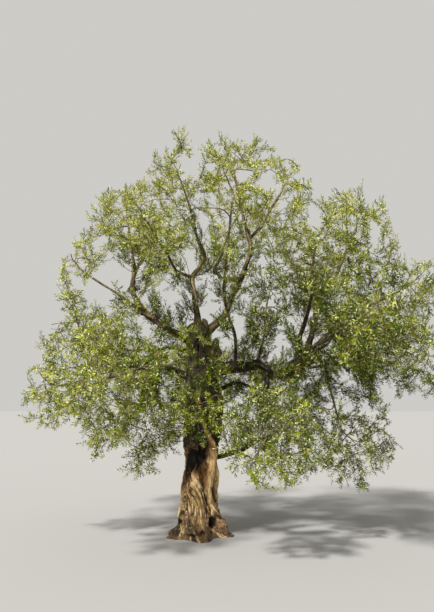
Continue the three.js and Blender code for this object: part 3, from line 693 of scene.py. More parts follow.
    def grow_leaders(self):
        """Upright shoots out of the top of the mass."""
        lowest = self.heart[2] + LEADERS["from"] * self.radius
        spots = [spot for spot in self.spots if spot[0][2] > lowest]
        for n in range(LEADERS["count"] if spots else 0):
            draw = [float(even(n + 1 + ROW["leaders"] * self.seed, base)) for base in (2, 3, 5)]
            at = spots[int(draw[0] * len(spots))][0]
            way = np.array((draw[1] - 0.5, draw[2] - 0.5, 0)) * LEADERS["lean"] + (0, 0, 1)
            tip = at + unit(way) * between(LEADERS["lengths"], draw[1])
            line = bowed(at, at + unit(tip - at) * LEADERS["bow"], tip, FINE_PIECES)
            if (in_box(tip) and shown(tip - (0, 0, LEADERS["cover"]))
                    and self.allowed(line.at(TWIG_CHECKS)).all()):
                self.shoots.append((line, LEADERS["radii"]))


class Sprays:
    """Leafy sprays that stand straight on a limb or on the trunk."""

    def __init__(self, name):
        count, longest, arch, first = SPRAYS[name]
        self.name, self.arch = name, arch * SPRAY["shoots"]
        seed = list(SPRAYS).index(name)
        self.index = len(NAMES) + seed
        self.boughs, self.branchlets, self.shoots = [], [], []
        carrier = limb_lines()[name]
        for n in range(count):
            draw = [float(even(n + 1 + ROW["sprays"] * seed, base)) for base in (2, 3, 5)]
            share = between((first, SPRAY["last"]), draw[0])
            at, heading = carrier.at(share), carrier.heading(share)
            if name == "trunk":
                around = math.radians(between(SPRAY["bearings"], draw[1]))
                out = np.array((math.cos(around), math.sin(around), 0))
                radius = float(trunk_skin_radius(around, share * TRUNK_HEIGHT))
                at = at + out * radius * SPRAY["foot"]
                way = out
            else:
                around = n * GOLDEN_TURN + seed
                side = unit(np.cross(heading, ASIDE))
                out = side * math.cos(around) + np.cross(heading, side) * math.sin(around)
                way = out + SPRAY["along"] * heading
            length = longest * between((SPRAY["shortest"], 1), draw[2])
            way = unit(way + (0, 0, SPRAY["lift"] + arch))
            tip = at + way * length + (0, 0, SPRAY["droop"] * arch * length)
            bend = at + unit(out + (0, 0, SPRAY["lift"])) * SPRAY["bow"] * length
            line = bowed(at, bend, tip, SPRAY["pieces"])
            if (in_box(line.points) & self.allowed(line.at(1)) & shown(line.at(1))).all():
                self.branchlets.append((line, BRANCHLETS["radii"]))
        self.shoots = tufted(self.branchlets, self.arch, seed, self.allowed)

    @staticmethod
    def allowed(points):
        return clear_of_limbs(points, SPRAY["room"])


@functools.cache
def masses():
    """Every mass by name, grown from its limb's tip, and the sprays of every limb."""
    lines = limb_lines()
    grown = {}
    for seed, (name, _, _, end, radii, _) in enumerate(LIMBS, 1):
        if isinstance(end, str):
            line = lines[name]
            grown[end] = Mass(end, seed, line.at(1), line.heading(1), STEM_SHARE * radii[1])
    reach = trunk_skin_radius(FRONT, TRUNK_SHOOTS_FROM)
    root = trunk_axis(TRUNK_SHOOTS_FROM) + np.array((0, -reach, 0))
    forwards = np.array((0.0, -1.0, 0.0))
    grown["trunk_shoots"] = Mass("trunk_shoots", 0, root, forwards, TRUNK_SHOOTS_STEM)
    grown.update((name, Sprays(name)) for name in SPRAYS)
    return grown


# Materials.


def new_node(tree, kind, settings, values, output):
    """The output of a new node, from its type, its settings, and its sockets' values or links."""
    node = tree.nodes.new(kind)
    for key, value in settings.items():
        setattr(node, key, value)
    for key, value in values.items():
        if isinstance(value, bpy.types.NodeSocket):
            tree.links.new(value, node.inputs[key])
        else:
            node.inputs[key].default_value = value
    return node.outputs[output]


class Mask:
    """A value that varies over a surface. Working with it adds Math nodes."""

    def __init__(self, finish, socket):
        self.finish, self.socket = finish, socket

    def _math(self, operation, first, second):
        return self.finish.node("Math", {"operation": operation}, {0: first, 1: second})

    def __add__(self, other):
        return self._math("ADD", self, other)

    def __radd__(self, other):
        return self._math("ADD", other, self)

    def __sub__(self, other):
        return self._math("SUBTRACT", self, other)

    def __rsub__(self, other):
        return self._math("SUBTRACT", other, self)

    def __mul__(self, other):
        return self._math("MULTIPLY", self, other)

    def __rmul__(self, other):
        return self._math("MULTIPLY", other, self)


class Finish:
    """A material built node by node."""

    def __init__(self, name, **constants):
        self.material = bpy.data.materials.new(name)
        self.material.use_nodes = True
        self.tree = self.material.node_tree
        self.shader = self.tree.nodes["Principled BSDF"]
        for socket, value in constants.items():
            socket = socket.replace("_", " ").title().replace("Ior", "IOR")
            self.shader.inputs[socket].default_value = value
        self.place = self.node("TexCoord", {}, {}, "Object")

    def node(self, kind, settings, values, output=0):
        values = {key: getattr(value, "socket", value) for key, value in values.items()}
        return Mask(self, new_node(self.tree, "ShaderNode" + kind, settings, values, output))

    def noise(self, scale, detail=4.0, stretch=(1, 1, 1), roughness=0.55):
        place = self.node("Mapping", {}, {"Vector": self.place, "Scale": stretch})
        values = {"Vector": place, "Scale": scale, "Detail": detail, "Roughness": roughness}
        return self.node("TexNoise", {}, values)

    def attribute(self, name):
        return self.node("Attribute", {"attribute_name": name}, {}, "Fac")

    def ramp(self, value, low, high):
        """0 where the value is low, 1 where it is high, smooth between."""
        values = {"Value": value, "From Min": low, "From Max": high}
        return self.node("MapRange", {"interpolation_type": "SMOOTHSTEP"}, values)

    def mix(self, mask, first, second):
        """One colour where the mask is 0 and the other where it is 1."""
        first, second = (c if isinstance(c, Mask) else linear(c) + (1,) for c in (first, second))
        return self.node("Mix", {"data_type": "RGBA"}, {0: mask, 6: first, 7: second}, 2)

    def coat(self, under, colour, value, low, high, share=1):
        """A share of a colour over what is under it, growing as a value goes from low to high."""
        mask = self.ramp(value, low, high)
        return self.mix(mask if share == 1 else mask * share, under, colour)

    def set(self, socket, value):
        self.tree.links.new(value.socket, self.shader.inputs[socket])

    def rough(self, height, strength, distance):
        """Relief too fine for the mesh."""
        values = {"Height": height, "Strength": strength, "Distance": distance}
        self.set("Normal", self.node("Bump", {}, values))


@functools.cache
def trunk_finish():
    """Buff weathered wood below, with pink and grey patches and dark grooves and cracks, partly
    dark wood and partly painted shade; brown rot in the hollows, with painted black shade under the
    big hollow's rim and in the caves; a tan rib of live wood; dark furrowed bark with moss above,
    its furrows partly painted shade."""
    finish = Finish("trunk_bark", roughness=0.9)
    relief, hollow = finish.attribute("relief"), finish.attribute("hollow")
    rotten, live = finish.attribute("rotten"), finish.attribute("live")
    crumbled = finish.attribute("crumbled")
    height = finish.node("SeparateXYZ", {}, {0: finish.place}, "Z")
    patches = finish.noise(3.5, 5.0, (1, 1, 0.5))
    fibres = finish.noise(24.0, 6.0, (1, 1, 0.14), 0.65)
    grain = finish.noise(60.0, 4.0, (1, 1, 0.4))
    chips = finish.noise(30.0, 3.0, (1, 1, 0.5), 0.6)
    # The wood is darker where the relief is low: partly dark wood and partly painted shade in the
    # grooves and cracks.
    wood = finish.coat("#2e2012", "#ad8850", relief, -0.85, -0.3)
    wood = finish.coat(wood, "#ecd298", relief, -0.3, 0.4)
    wood = finish.coat(wood, "#b98b68", patches, 0.52, 0.64, 0.6)
    wood = finish.coat(wood, "#8a764c", patches, 0.46, 0.36, 0.5)
    wood = finish.coat(wood, "#443016", fibres, 0.47, 0.35, 0.8)
    wood = finish.coat(wood, "#faeabb", fibres, 0.56, 0.66, 0.7)
    wood = finish.coat(wood, "#543d20", chips, 0.46, 0.36, 0.7)
    wood = finish.coat(wood, "#f6e6b8", chips, 0.58, 0.68, 0.6)
    crumbs = finish.coat("#1f160d", "#7a5c3c", grain, 0.4, 0.6)
    crumbs = finish.coat(crumbs, "#a88c60", chips, 0.56, 0.66, 0.6)
    crumbs = finish.coat(crumbs, "#1c140e", patches, 0.52, 0.38, 0.8)
    wood = finish.mix(crumbled * finish.ramp(relief, 0.55, -0.1), wood, crumbs)
    tan = finish.coat("#a8743c", "#ecc588", fibres, 0.36, 0.62)
    wood = finish.mix(live * 0.85, wood, tan)
    # The bark above is darkest in its furrows: partly its own colour and partly painted shade.
    bark = finish.coat("#0b0805", "#4a3d27", relief, -0.4, 0.7)
    bark = finish.coat(bark, "#7f6e48", grain, 0.5, 0.64, 0.6)
    bark = finish.coat(bark, "#17110b", chips, 0.46, 0.38, 0.7)
    moss = finish.ramp(finish.noise(5.0, 4.0), 0.46, 0.58) * finish.ramp(height, 1.9, 2.6)
    bark = finish.mix(moss * 0.55, bark, "#5f6428")
    barked = finish.ramp(height + (patches - 0.5) * 0.6, 1.5, 1.66) * (1 - live)
    colour = finish.mix(barked, wood, bark)
    rot = finish.coat("#33200f", "#8c6234", fibres, 0.36, 0.64)
    colour = finish.mix(rotten, colour, rot)
    # Painted shade: the hollows and caves are painted near black where they lie in shade.
    colour = finish.coat(colour, "#0d0805", hollow, 0.3, 0.95)
    finish.set("Base Color", colour)
    finish.set("Roughness", 0.96 - 0.14 * finish.ramp(relief, 0.0, 0.9))
    finish.rough(fibres * 0.6 + grain * 0.4, 0.8, 0.014)
    return finish.material


@functools.cache
def limb_finish():
    """Olive brown furrowed bark, paler on its ridges and darker in its furrows, partly its own
    colour and partly painted shade; moss on top; and more painted shade in the furrows of limbs in
    the shade of the crown.
    """
    finish = Finish("limb_bark", roughness=0.9)
    relief, dark = finish.attribute("relief"), finish.attribute("dark")
    upper = finish.attribute("upper")
    flakes = finish.noise(26.0, 5.0, (1, 1, 0.6), 0.6)
    grain = finish.noise(90.0, 4.0)
    patches = finish.noise(6.0, 4.0)
    # The furrows are darker: partly the bark's own colour and partly painted shade.
    bark = finish.coat("#241a11", "#75613f", relief, -0.6, 0.5)
    bark = finish.coat(bark, "#a38f62", relief, 0.3, 0.9, 0.7)
    bark = finish.coat(bark, "#a8956a", flakes, 0.54, 0.64, 0.6)
    bark = finish.coat(bark, "#1f160e", flakes, 0.46, 0.36, 0.8)
    moss = finish.ramp(upper * 0.5 + (patches - 0.5) * 4.0, 0.0, 0.7)
    bark = finish.mix(moss * 0.6, bark, "#6b6c2f")
    # Painted shade: the furrows are darkened further on limbs in the shade of the crown.
    bark = finish.mix(dark * finish.ramp(relief, 1.3, -0.3), bark, "#100b07")
    finish.set("Base Color", bark)
    finish.set("Roughness", 0.95 - 0.15 * finish.ramp(relief, 0.0, 0.9))
    finish.rough(flakes * 0.6 + grain * 0.4, 0.8, 0.012)
    return finish.material


@functools.cache
def dead_finish():
    """Dead wood: grey brown, split along its grain, black where it broke."""
    finish = Finish("dead_wood", roughness=0.92)
    relief = finish.attribute("relief")
    splits = finish.noise(30.0, 6.0, (1, 1, 0.15), 0.65)
    wood = finish.coat("#1f1710", "#6b583d", relief, -0.6, 0.6)
    wood = finish.coat(wood, "#150f0a", splits, 0.46, 0.34, 0.85)
    wood = finish.coat(wood, "#93815c", splits, 0.56, 0.7, 0.6)
    moss = finish.ramp(finish.noise(9.0, 4.0), 0.5, 0.62)
    wood = finish.mix(moss * 0.6, wood, "#676a2c")
    finish.set("Base Color", wood)
    finish.set("Roughness", 0.96 - 0.1 * finish.ramp(splits, 0.5, 0.7))
    finish.rough(splits, 0.8, 0.01)
    return finish.material


@functools.cache
def twig_finish():
    """Thin bark: olive brown, greyer in patches."""
    finish = Finish("twig_bark", roughness=0.85)
    patches = finish.noise(14.0, 4.0)
    colour = finish.coat("#5a4c33", "#827650", patches, 0.4, 0.6)
    finish.set("Base Color", colour)
    finish.set("Roughness", 0.9 - 0.2 * finish.ramp(patches, 0.4, 0.6))
    finish.rough(finish.noise(140.0, 3.0), 0.5, 0.003)
    return finish.material


@functools.cache
def leaf_finish(name):
    """One tint of leaf. Its colour is plain, because tints are dealt out by spray."""
    finish = Finish(name, base_color=linear(TINTS[name]) + (1,), specular_ior_level=0.04)
    finish.set("Roughness", 0.5 + 0.3 * finish.ramp(finish.noise(40.0, 3.0), 0.35, 0.65))
    return finish.material


# Meshes.


def link(name, mesh):
    """A new object in the scene."""
    piece = bpy.data.objects.new(name, mesh)
    bpy.context.scene.collection.objects.link(piece)
    return piece


def settle(piece, replaced):
    """Hands a finished piece to the part: its body and the nodes that it stands for."""
    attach(piece, "root")
    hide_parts(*replaced)


class Skins:
    """Closed skins over rings of points, gathered into one mesh."""

    def __init__(self):
        self.places, self.faces, self.values = [], [], {}
        self.count = 0

    def add(self, rings, **values):
        """A skin over rings, closed at both ends, with a value for each point under each name."""
        number, sides = rings.shape[:2]
        corner = np.arange(number * sides).reshape(number, sides) + self.count
        after = np.roll(corner, -1, axis=1)
        quads = np.stack([corner[:-1], after[:-1], after[1:], corner[1:]], axis=-1).reshape(-1, 4)
        self.faces += [*quads.tolist(), corner[0, ::-1].tolist(), corner[-1].tolist()]
        self.places.append(rings.reshape(-1, 3))
        self.count += number * sides
        for name, value in values.items():
            spread = np.broadcast_to(value, rings.shape[:2]).reshape(-1)
            self.values.setdefault(name, []).append(spread)

    def piece(self, name, material):
        mesh = bpy.data.meshes.new(name)
        mesh.from_pydata(np.vstack(self.places).tolist(), [], self.faces)
        for key, values in self.values.items():
            layer = mesh.attributes.new(key, "FLOAT", "POINT")
            layer.data.foreach_set("value", np.concatenate(values).astype(np.float32))
        mesh.shade_smooth()
        mesh.materials.append(material)
        return link(name, mesh)


def ridged(points, seed):
    """Noise with sharp crests and round valleys, from -1 to 1."""
    return 1 - 2 * np.abs(noise(points, seed))


def billowed(points, seed):
    """Noise with round crests and sharp valleys, from -1 to 1."""
    return 2.6 * np.abs(noise(points, seed)) - 1


def wrapped(angle, height, around, up):
    """A place for noise on a round skin without a seam: cells round it, and cells to a metre."""
    reach = around / (2 * math.pi)
    return np.stack([reach * np.cos(angle), reach * np.sin(angle), height * up], axis=-1)


# The rib of live wood that runs up the right side of the big hollow: height, bearing, half width.
LIVE_RIB = [(0.0, -22, 9), (0.3, -28, 9), (0.6, -42, 9), (0.83, -48, 9), (1.05, -42, 9),
            (1.24, -33, 8), (1.41, -33, 7), (1.57, -44, 7), (1.74, -64, 6), (1.95, -80, 6),
            (2.2, -90, 5)]
# Caves, cut sharper than the part's hollows: bearing, height, half width, half height and depth.
CAVES = [
    (-141, 0.86, 15, 0.06, 0.06),
    (-152, 0.28, 14, 0.07, 0.035),
    (-38, 0.24, 22, 0.12, 0.07),
    (-84, 0.14, 10, 0.08, 0.03),
    (-92, 3.42, 8, 0.38, 0.07),
    (150, 0.5, 18, 0.2, 0.06),
    (60, 0.2, 14, 0.14, 0.06),
    (88, 1.2, 10, 0.16, 0.06),
    (105, 3.3, 10, 0.3, 0.06),
]
# How much slimmer the waist is than the part's, and the heights between which.
WAIST = {"slimmer": 0.12, "heights": (0.2, 0.6, 1.15, 1.75)}
# The big rotten hollow: bearing, half width, heights of its floor and of its rim, and depth.
ROTTEN_HOLLOW = {"bearing": -121, "half_width": 88, "floor": 0.92, "rim": 1.62, "depth": 0.14}


class TrunkSkin:
    """The trunk's skin: ropes of wood that twist up it, fibres on them, burls above, and caves.
    It is worked out as how far each point stands out, and as what the finish reads there."""

    def __init__(self, bark):
        rings, sides = round(TRUNK_HEIGHT / bark.ring_step), bark.columns
        share, angle = grid(rings, sides)
        self.height, self.angle = np.broadcast_arrays(share * TRUNK_HEIGHT, angle)
        self.warp = self.layered(7, 1.6, 2, 3)
        self.add_wood(bark)
        self.add_rib()
        self.ragged = self.layered(18, 5, 2, 17)
        self.add_rotten_hollow()
        self.add_caves()

    def layered(self, around, up, layers, seed):
        return layered_noise(wrapped(self.angle, self.height, around, up), layers, seed)

    def billows(self, angle, around, up, seed):
        return billowed(wrapped(angle, self.height, around, up), seed)

    def add_wood(self, bark):
        """Ropes, strands, slivers and cracks below, burls and plates above, crumbs at the foot."""
        height, angle, warp = self.height, self.angle, self.warp
        twist = 1.15 * np.minimum(height, 1.3) + 0.4 * np.maximum(height - 1.3, 0)
        snarl = noise(wrapped(angle, height, 16, 4.5), 4)
        turned = angle + twist + 0.2 * np.sin(2.4 * height) + 0.26 * warp + 0.1 * snarl
        ropes = self.billows(turned, 14, 1.0, 5)
        strands = self.billows(turned + 0.1 * warp, 36, 2.2, 7)
        cracks = ridged(wrapped(turned - 0.07 * warp, height, 20, 1.6), 8)
        cracks = smoothstep(cracks, 0.72, 0.97)
        fibres = noise(wrapped(turned, height, 90, 6.0), 9)
        slivers = self.billows(turned + 0.1 * warp, 64, 6.5, 15)
        knots = smoothstep(noise(wrapped(turned, height, 12, 4.5), 25), 0.35, 0.7)
        burls = self.layered(11, 4.5, 3, 11)
        plates = self.billows(angle + 0.05 * burls, 46, 9, 13)
        low = 1 - smoothstep(height + 0.25 * warp, 1.6, 2.2)
        crumbled = 1 - smoothstep(height + 0.16 * warp - 0.1 * ropes, 0.1, 0.42)
        crumbs = self.layered(40, 14, 2, 21)
        lumps = self.layered(10, 5, 2, 23)
        clods = self.billows(angle + 0.1 * lumps, 17, 8, 27)
        # The relief, which the finish reads, is low in the cracks, knots and grooves, where the
        # finish paints them dark: partly dark wood and partly painted shade.
        relief = low * (0.45 * ropes + 0.4 * strands + 0.35 * slivers + 0.25 * fibres
                        + 0.25 * burls - 0.8 * cracks - 0.8 * knots)
        relief += (1 - low) * (0.55 * burls + 0.45 * plates + 0.15 * fibres)
        depth = low * (0.8 * ropes + 0.4 * strands + 0.22 * slivers + 0.4 * burls
                       - 0.5 * cracks - 0.6 * knots)
        depth = bark.rope_depth * (depth + (1 - low) * (1.1 * burls + 0.3 * plates))
        depth += bark.fibre_depth * (fibres + crumbled * 3.0 * crumbs)
        depth += crumbled * (0.09 * lumps + 0.06 * clods)
        self.ropes, self.fibres, self.burls, self.crumbled = ropes, fibres, burls, crumbled
        self.relief, self.depth = relief, depth

    def add_rib(self):
        """The rib of live wood, with a groove to either side."""
        rows = np.array(LIVE_RIB)
        bearing, width = (np.interp(self.height, rows[:, 0], rows[:, k]) for k in (1, 2))
        away = np.abs(aside(self.angle, bearing + 3 * self.warp) / width)
        risen = smoothstep(self.height, 0.15, 0.7)
        rib = np.exp(-away ** 3) * (1 - smoothstep(self.height, 2.0, 2.3)) * risen
        beside = np.exp(-((away - 2.0) / 0.8) ** 2) * risen
        beside = beside * (1 - smoothstep(self.height, 1.9, 2.2))
        self.depth += 0.06 * rib - 0.04 * beside
        # The grooves beside the rib get low relief, which the finish paints dark: partly painted
        # shade.
        self.relief = self.relief * (1 - 0.45 * rib) + 0.5 * rib - 0.6 * beside
        self.rib, self.live = rib, rib * smoothstep(self.height, 0.75, 1.1)

    def add_rotten_hollow(self):
        """The big hollow: painted black shade under its draped rim, and brown rot on its sloping
        floor.
        """
        big, ragged = ROTTEN_HOLLOW, self.ragged
        bearing = aside(self.angle, big["bearing"])
        across = np.abs(bearing) / big["half_width"] + 0.14 * ragged
        drapes = billowed(wrapped(self.angle, 0.25 * self.height, 22, 1), 19)
        below_rim = big["rim"] - 0.12 * np.minimum(across, 1.2) ** 2 + 0.07 * ragged - self.height
        below_rim += 0.09 * drapes + 0.05 * self.burls + 0.1 * smoothstep(bearing, -15, 25)
        down = below_rim / (big["rim"] - big["floor"])
        inside = smoothstep(below_rim, 0, 0.11) * (1 - smoothstep(across, 0.8, 1.0))
        inside = inside * (1 - self.rib)
        sloped = down + 0.1 * smoothstep(bearing, -20, 50) + 0.18 * ragged + 0.12 * self.fibres
        # The share that the finish paints black: painted shade under the rim.
        self.hollow = inside * (1 - smoothstep(sloped, 0.5, 0.86))
        self.depth -= big["depth"] * self.hollow * (1 - 0.75 * smoothstep(-bearing, 25, 55))
        self.depth -= 0.035 * inside * (1 - smoothstep(sloped, 0.8, 1.2))
        self.rotten = inside * (1 - smoothstep(down + 0.3 * ragged, 0.85, 1.2))

    def add_caves(self):
        for bearing, middle, half_width, half_height, sunk in CAVES:
            away = np.hypot(aside(self.angle, bearing) / half_width,
                            (self.height - middle) / half_height)
            cave = 1 - smoothstep(away + 0.6 * self.ragged + 0.2 * self.ropes, 0.25, 1.0)
            cave = cave * (1 - self.rib)
            self.depth -= sunk * cave
            # Painted shade: the finish paints the caves black, as it does the hollow.
            self.hollow = np.maximum(self.hollow, cave)

    def skins(self):
        height, angle = self.height, self.angle
        foot, rise, fall, top = WAIST["heights"]
        slim = WAIST["slimmer"] * smoothstep(height, foot, rise)
        slim = 1 - slim * (1 - smoothstep(height, fall, top))
        radius = slim * trunk_skin_radius(angle, height)
        radius += self.depth * (0.35 + 0.65 * smoothstep(height, 0, 0.06))
        lifted = 0.1 * smoothstep(height, 3.4, 3.8) * self.burls
        out = np.stack([radius * np.cos(angle), radius * np.sin(angle), lifted], axis=-1)
        skins = Skins()
        # hollow carries the painted black shade; rotten also covers it, with brown rot.
        skins.add(trunk_axis(height) + out, relief=self.relief, hollow=self.hollow, live=self.live,
                  rotten=np.maximum(self.rotten, self.hollow), crumbled=self.crumbled)
        return skins


def outwards(line, shares, angle):
    """Ways straight out of a line at each share and angle, turning no more than the line does."""
    headings = line.heading(shares)
    across = np.cross(headings[0], (0, 0, 1) if abs(headings[0][2]) < 0.9 else (1, 0, 0))
    first = []
    for heading in headings:
        across = unit(across - heading * (across @ heading))
        first.append(across)
    first, second = np.array(first)[:, None], np.cross(headings, first)[:, None]
    return first * np.cos(angle)[..., None] + second * np.sin(angle)[..., None]


def grid(rings, sides):
    """Shares of a line's length, and angles round it, for the points of its skin."""
    share = np.linspace(0, 1, rings)[:, None]
    return share, np.linspace(0, 2 * math.pi, sides, endpoint=False)[None]


# A limb's skin: its thickness beside the part's limb, how much it swells where it leaves its parent
# and where other limbs leave it, and the fewest rings, and fewest and most sides, that it has.
LIMB_SKIN = {"thickness": 0.82, "root": 0.45, "fork": 0.16, "rings": 8, "sides": (12, 40)}
# The skin of a limb that broke off: its fewest rings, its sides, and how long its splinters are.
BROKEN_SKIN = {"rings": 20, "sides": 44, "splinters": 0.09}
# How much painted shade darkens the furrows of limbs in the shade of the crown, and of the rest.
PAINTED_SHADE_OF_LIMBS = {"east_limb": 0.85, "low_limb": 0.9, "west_limb": 0.6, "east_upright": 0.7,
              "east_rise": 0.7, "east_drop": 0.7, "east_arm": 0.6, "east_arch": 0.6,
              "east_front_arm": 0.6, "west_drop": 0.6, "back_limb": 0.8, "back_right_limb": 0.8,
              "back_left_limb": 0.6, "east_back_arm": 0.7, "west_front_arm": 0.6}
PAINTED_SHADE_IN_THE_OPEN = 0.15
LIMB_FAMILIES = {
    "left_bough_bark": ["left_limb", "left_rise", "left_arm", "back_high_limb", "west_limb",
                        "west_arm", "west_drop", "west_front_arm"],
    "middle_bough_bark": ["middle_limb", "middle_arm", "right_limb", "right_fork", "cross_limb"],
    "east_bough_bark": ["east_limb", "front_limb", "centre_limb", "east_upright", "east_rise",
                        "east_back_rise", "east_arm", "east_arch", "east_drop",
                        "east_front_arm", "east_back_arm"],
    "back_bough_bark": ["back_left_limb", "back_limb", "back_right_limb", "low_limb"],
}


def limb_skin(skins, limb, seed, bark):
    """A limb's skin: swollen where it leaves its parent and where others leave it, with knots,
    furrows along it and rough bark."""
    name, parent, parent_share, end, radii, _ = limb
    line = limb_lines()[name]
    rings = max(LIMB_SKIN["rings"], round(line.length / bark.limb_step))
    sides = int(np.clip(2 * math.pi * radii[0] / bark.limb_step, *LIMB_SKIN["sides"]))
    share, angle = grid(rings, sides)
    along = share * line.length
    parent_radius = radii[0]
    if parent == "trunk":
        parent_radius = float(trunk_radius(parent_share * TRUNK_HEIGHT))
    radius = LIMB_SKIN["thickness"] * limb_radius(radii, share)
    if isinstance(end, str):
        radius = radius * (1 - (1 - STEM_SHARE) * smoothstep(share, 0.75, 1))
    from_root = along / (parent_radius + 0.6 * radii[0])
    radius = radius * (1 + LIMB_SKIN["root"] * np.exp(-from_root ** 2))
    for other in LIMBS:
        if other[1] == name:
            near = (share - other[2]) * line.length / (1.8 * radii[0])
            radius = radius * (1 + LIMB_SKIN["fork"] * np.exp(-near ** 2))
    angle, along = np.broadcast_arrays(angle, along)
    turned = angle + 1.3 * along + seed
    lumps = layered_noise(wrapped(angle, along, 3, 5.0) + seed * 3.1, 3, seed)
    furrows = billowed(wrapped(turned, along, 9, 2.6) + seed, seed + 40)
    flakes = noise(wrapped(turned, along, 24, 14) + seed, seed + 80)
    relief = 0.5 * furrows + 0.45 * flakes + 0.3 * lumps
    rough = 0.2 * lumps + 0.1 * furrows + 0.05 * flakes
    radius = np.broadcast_to(radius, rough.shape) * (1 + rough)
    out = outwards(line, share[:, 0], angle)
    places = line.at(share[:, 0])[:, None] + out * radius[..., None]
    # dark is the limb's painted shade, which the finish puts in its furrows.
    skins.add(places, relief=relief, upper=out[..., 2], dark=PAINTED_SHADE_OF_LIMBS.get(name, PAINTED_SHADE_IN_THE_OPEN))


def broken_skin(skins, limb, seed, bark):
    """A limb that broke off: deeply split, and ending in splinters of uneven length."""
    name, _, _, _, radii, _ = limb
    line = limb_lines()[name]
    rings = max(BROKEN_SKIN["rings"], round(line.length / bark.limb_step))
    share, angle = grid(rings, BROKEN_SKIN["sides"])
    angle, along = np.broadcast_arrays(angle, share * line.length)
    splits = ridged(wrapped(angle, along, 12, 2.0) + seed, seed)
    fibres = noise(wrapped(angle, along, 40, 8), seed + 3)
    lumps = layered_noise(wrapped(angle, along, 5, 6.0), 2, seed + 5)
    plates = billowed(wrapped(angle, along, 11, 14), seed + 7)
    relief = 0.3 * splits + 0.3 * fibres + 0.7 * plates
    radius = limb_radius(radii, share) * (1 + 0.1 * splits + 0.36 * lumps + 0.1 * plates)
    radius = radius * (1 - 0.2 * smoothstep(share, 0.5, 0.9) - 0.5 * smoothstep(share, 0.93, 1.0))
    splinters = layered_noise(wrapped(angle, along * 0, 9, 1), 2, seed + 9)
    splinters = BROKEN_SKIN["splinters"] * splinters * smoothstep(share, 0.6, 1)
    ends = line.heading(share[:, 0])[:, None] * splinters[..., None]
    out = outwards(line, share[:, 0], angle) * radius[..., None]
    skins.add(line.at(share[:, 0])[:, None] + out + ends, relief=relief)


# Geometry nodes.


# What the trees read at each point, and what the finished meshes no longer need.
GUIDES = ("along", "facing", "size", "tint", "thickness")


class Steps:
    """A tree of geometry nodes with named inputs, which makes a plain mesh from a given one."""

    def __init__(self, name, inputs):
        self.tree = bpy.data.node_groups.new(name, "GeometryNodeTree")
        sockets = self.tree.interface
        sockets.new_socket("Geometry", in_out="INPUT", socket_type="NodeSocketGeometry")
        self.keys = {}
        for label, kind in inputs.items():
            socket = sockets.new_socket(label, in_out="INPUT", socket_type="NodeSocket" + kind)
            self.keys[label] = socket.identifier
        sockets.new_socket("Geometry", in_out="OUTPUT", socket_type="NodeSocketGeometry")
        self.given = self.tree.nodes.new("NodeGroupInput").outputs

    def node(self, kind, settings, values, output=0):
        return new_node(self.tree, kind, settings, values, output)

    def attribute(self, name, kind):
        return self.node("GeometryNodeInputNamedAttribute", {"data_type": kind}, {"Name": name})

    def painted(self, geometry, materials, choice=None):
        """The geometry as a plain mesh in its materials, dealt out by a number where given."""
        geometry = self.node("GeometryNodeRealizeInstances", {}, {"Geometry": geometry})
        for number, material in enumerate(materials):
            values = {"Geometry": geometry, "Material": material}
            if choice is not None:
                chosen = {"data_type": "INT", "operation": "EQUAL"}
                pair = {2: choice, 3: number}
                values["Selection"] = self.node("FunctionNodeCompare", chosen, pair)
            geometry = self.node("GeometryNodeSetMaterial", {}, values)
        return geometry

    def end(self, geometry):
        self.tree.links.new(geometry, self.tree.nodes.new("NodeGroupOutput").inputs[0])

    def make(self, name, mesh, **inputs):
        """Runs the tree on a mesh, and gives its result as a plain piece."""
        piece = link(name, mesh)
        modifier = piece.modifiers.new(self.tree.name, "NODES")
        modifier.node_group = self.tree
        for label, value in inputs.items():
            modifier[self.keys[label]] = value
        graph = bpy.context.evaluated_depsgraph_get()
        made = bpy.data.meshes.new_from_object(piece.evaluated_get(graph), depsgraph=graph)
        piece.modifiers.clear()
        piece.data = made
        bpy.data.meshes.remove(mesh)
        made.name = name
        for key in [layer.name for layer in made.attributes if layer.name in GUIDES]:
            made.attributes.remove(made.attributes[key])
        return piece


@functools.cache
def twig_steps():
    """Round twigs along lines, as thick as each point says."""
    steps = Steps("twigs_along_lines", {"Sides": "Int"})
    curve = steps.node("GeometryNodeMeshToCurve", {}, {"Mesh": steps.given["Geometry"]})
    circle = steps.node("GeometryNodeCurvePrimitiveCircle", {},
                        {"Resolution": steps.given["Sides"], "Radius": 1.0})
    thickness = steps.attribute("thickness", "FLOAT")
    values = {"Curve": curve, "Profile Curve": circle, "Scale": thickness, "Fill Caps": True}
    tubes = steps.node("GeometryNodeCurveToMesh", {}, values)
    smooth = steps.node("GeometryNodeSetShadeSmooth", {}, {"Geometry": tubes})
    steps.end(steps.painted(smooth, [twig_finish()]))
    return steps


@functools.cache
def leaf_steps():
    """A leaf at every point, along one direction and facing another."""
    steps = Steps("leaves_on_points", {"Leaf": "Object", "Length": "Float", "Width": "Float"})
    leaf = steps.node("GeometryNodeObjectInfo", {}, {"Object": steps.given["Leaf"]}, "Geometry")
    turn = steps.node("FunctionNodeAlignRotationToVector", {"axis": "X"},
                      {"Vector": steps.attribute("along", "FLOAT_VECTOR")})
    turn = steps.node("FunctionNodeAlignRotationToVector", {"axis": "Z", "pivot_axis": "X"},
                      {"Rotation": turn, "Vector": steps.attribute("facing", "FLOAT_VECTOR")})
    sizes = steps.node("ShaderNodeCombineXYZ", {}, {0: steps.given["Length"],
                       1: steps.given["Width"], 2: steps.given["Length"]})
    scale = steps.node("ShaderNodeVectorMath", {"operation": "SCALE"},
                       {0: sizes, "Scale": steps.attribute("size", "FLOAT")})
    values = {"Points": steps.given["Geometry"], "Instance": leaf, "Rotation": turn, "Scale": scale}
    leaves = steps.node("GeometryNodeInstanceOnPoints", {}, values)
    steps.end(steps.painted(leaves, [leaf_finish(name) for name in TINTS],
                            steps.attribute("tint", "INT")))
    return steps


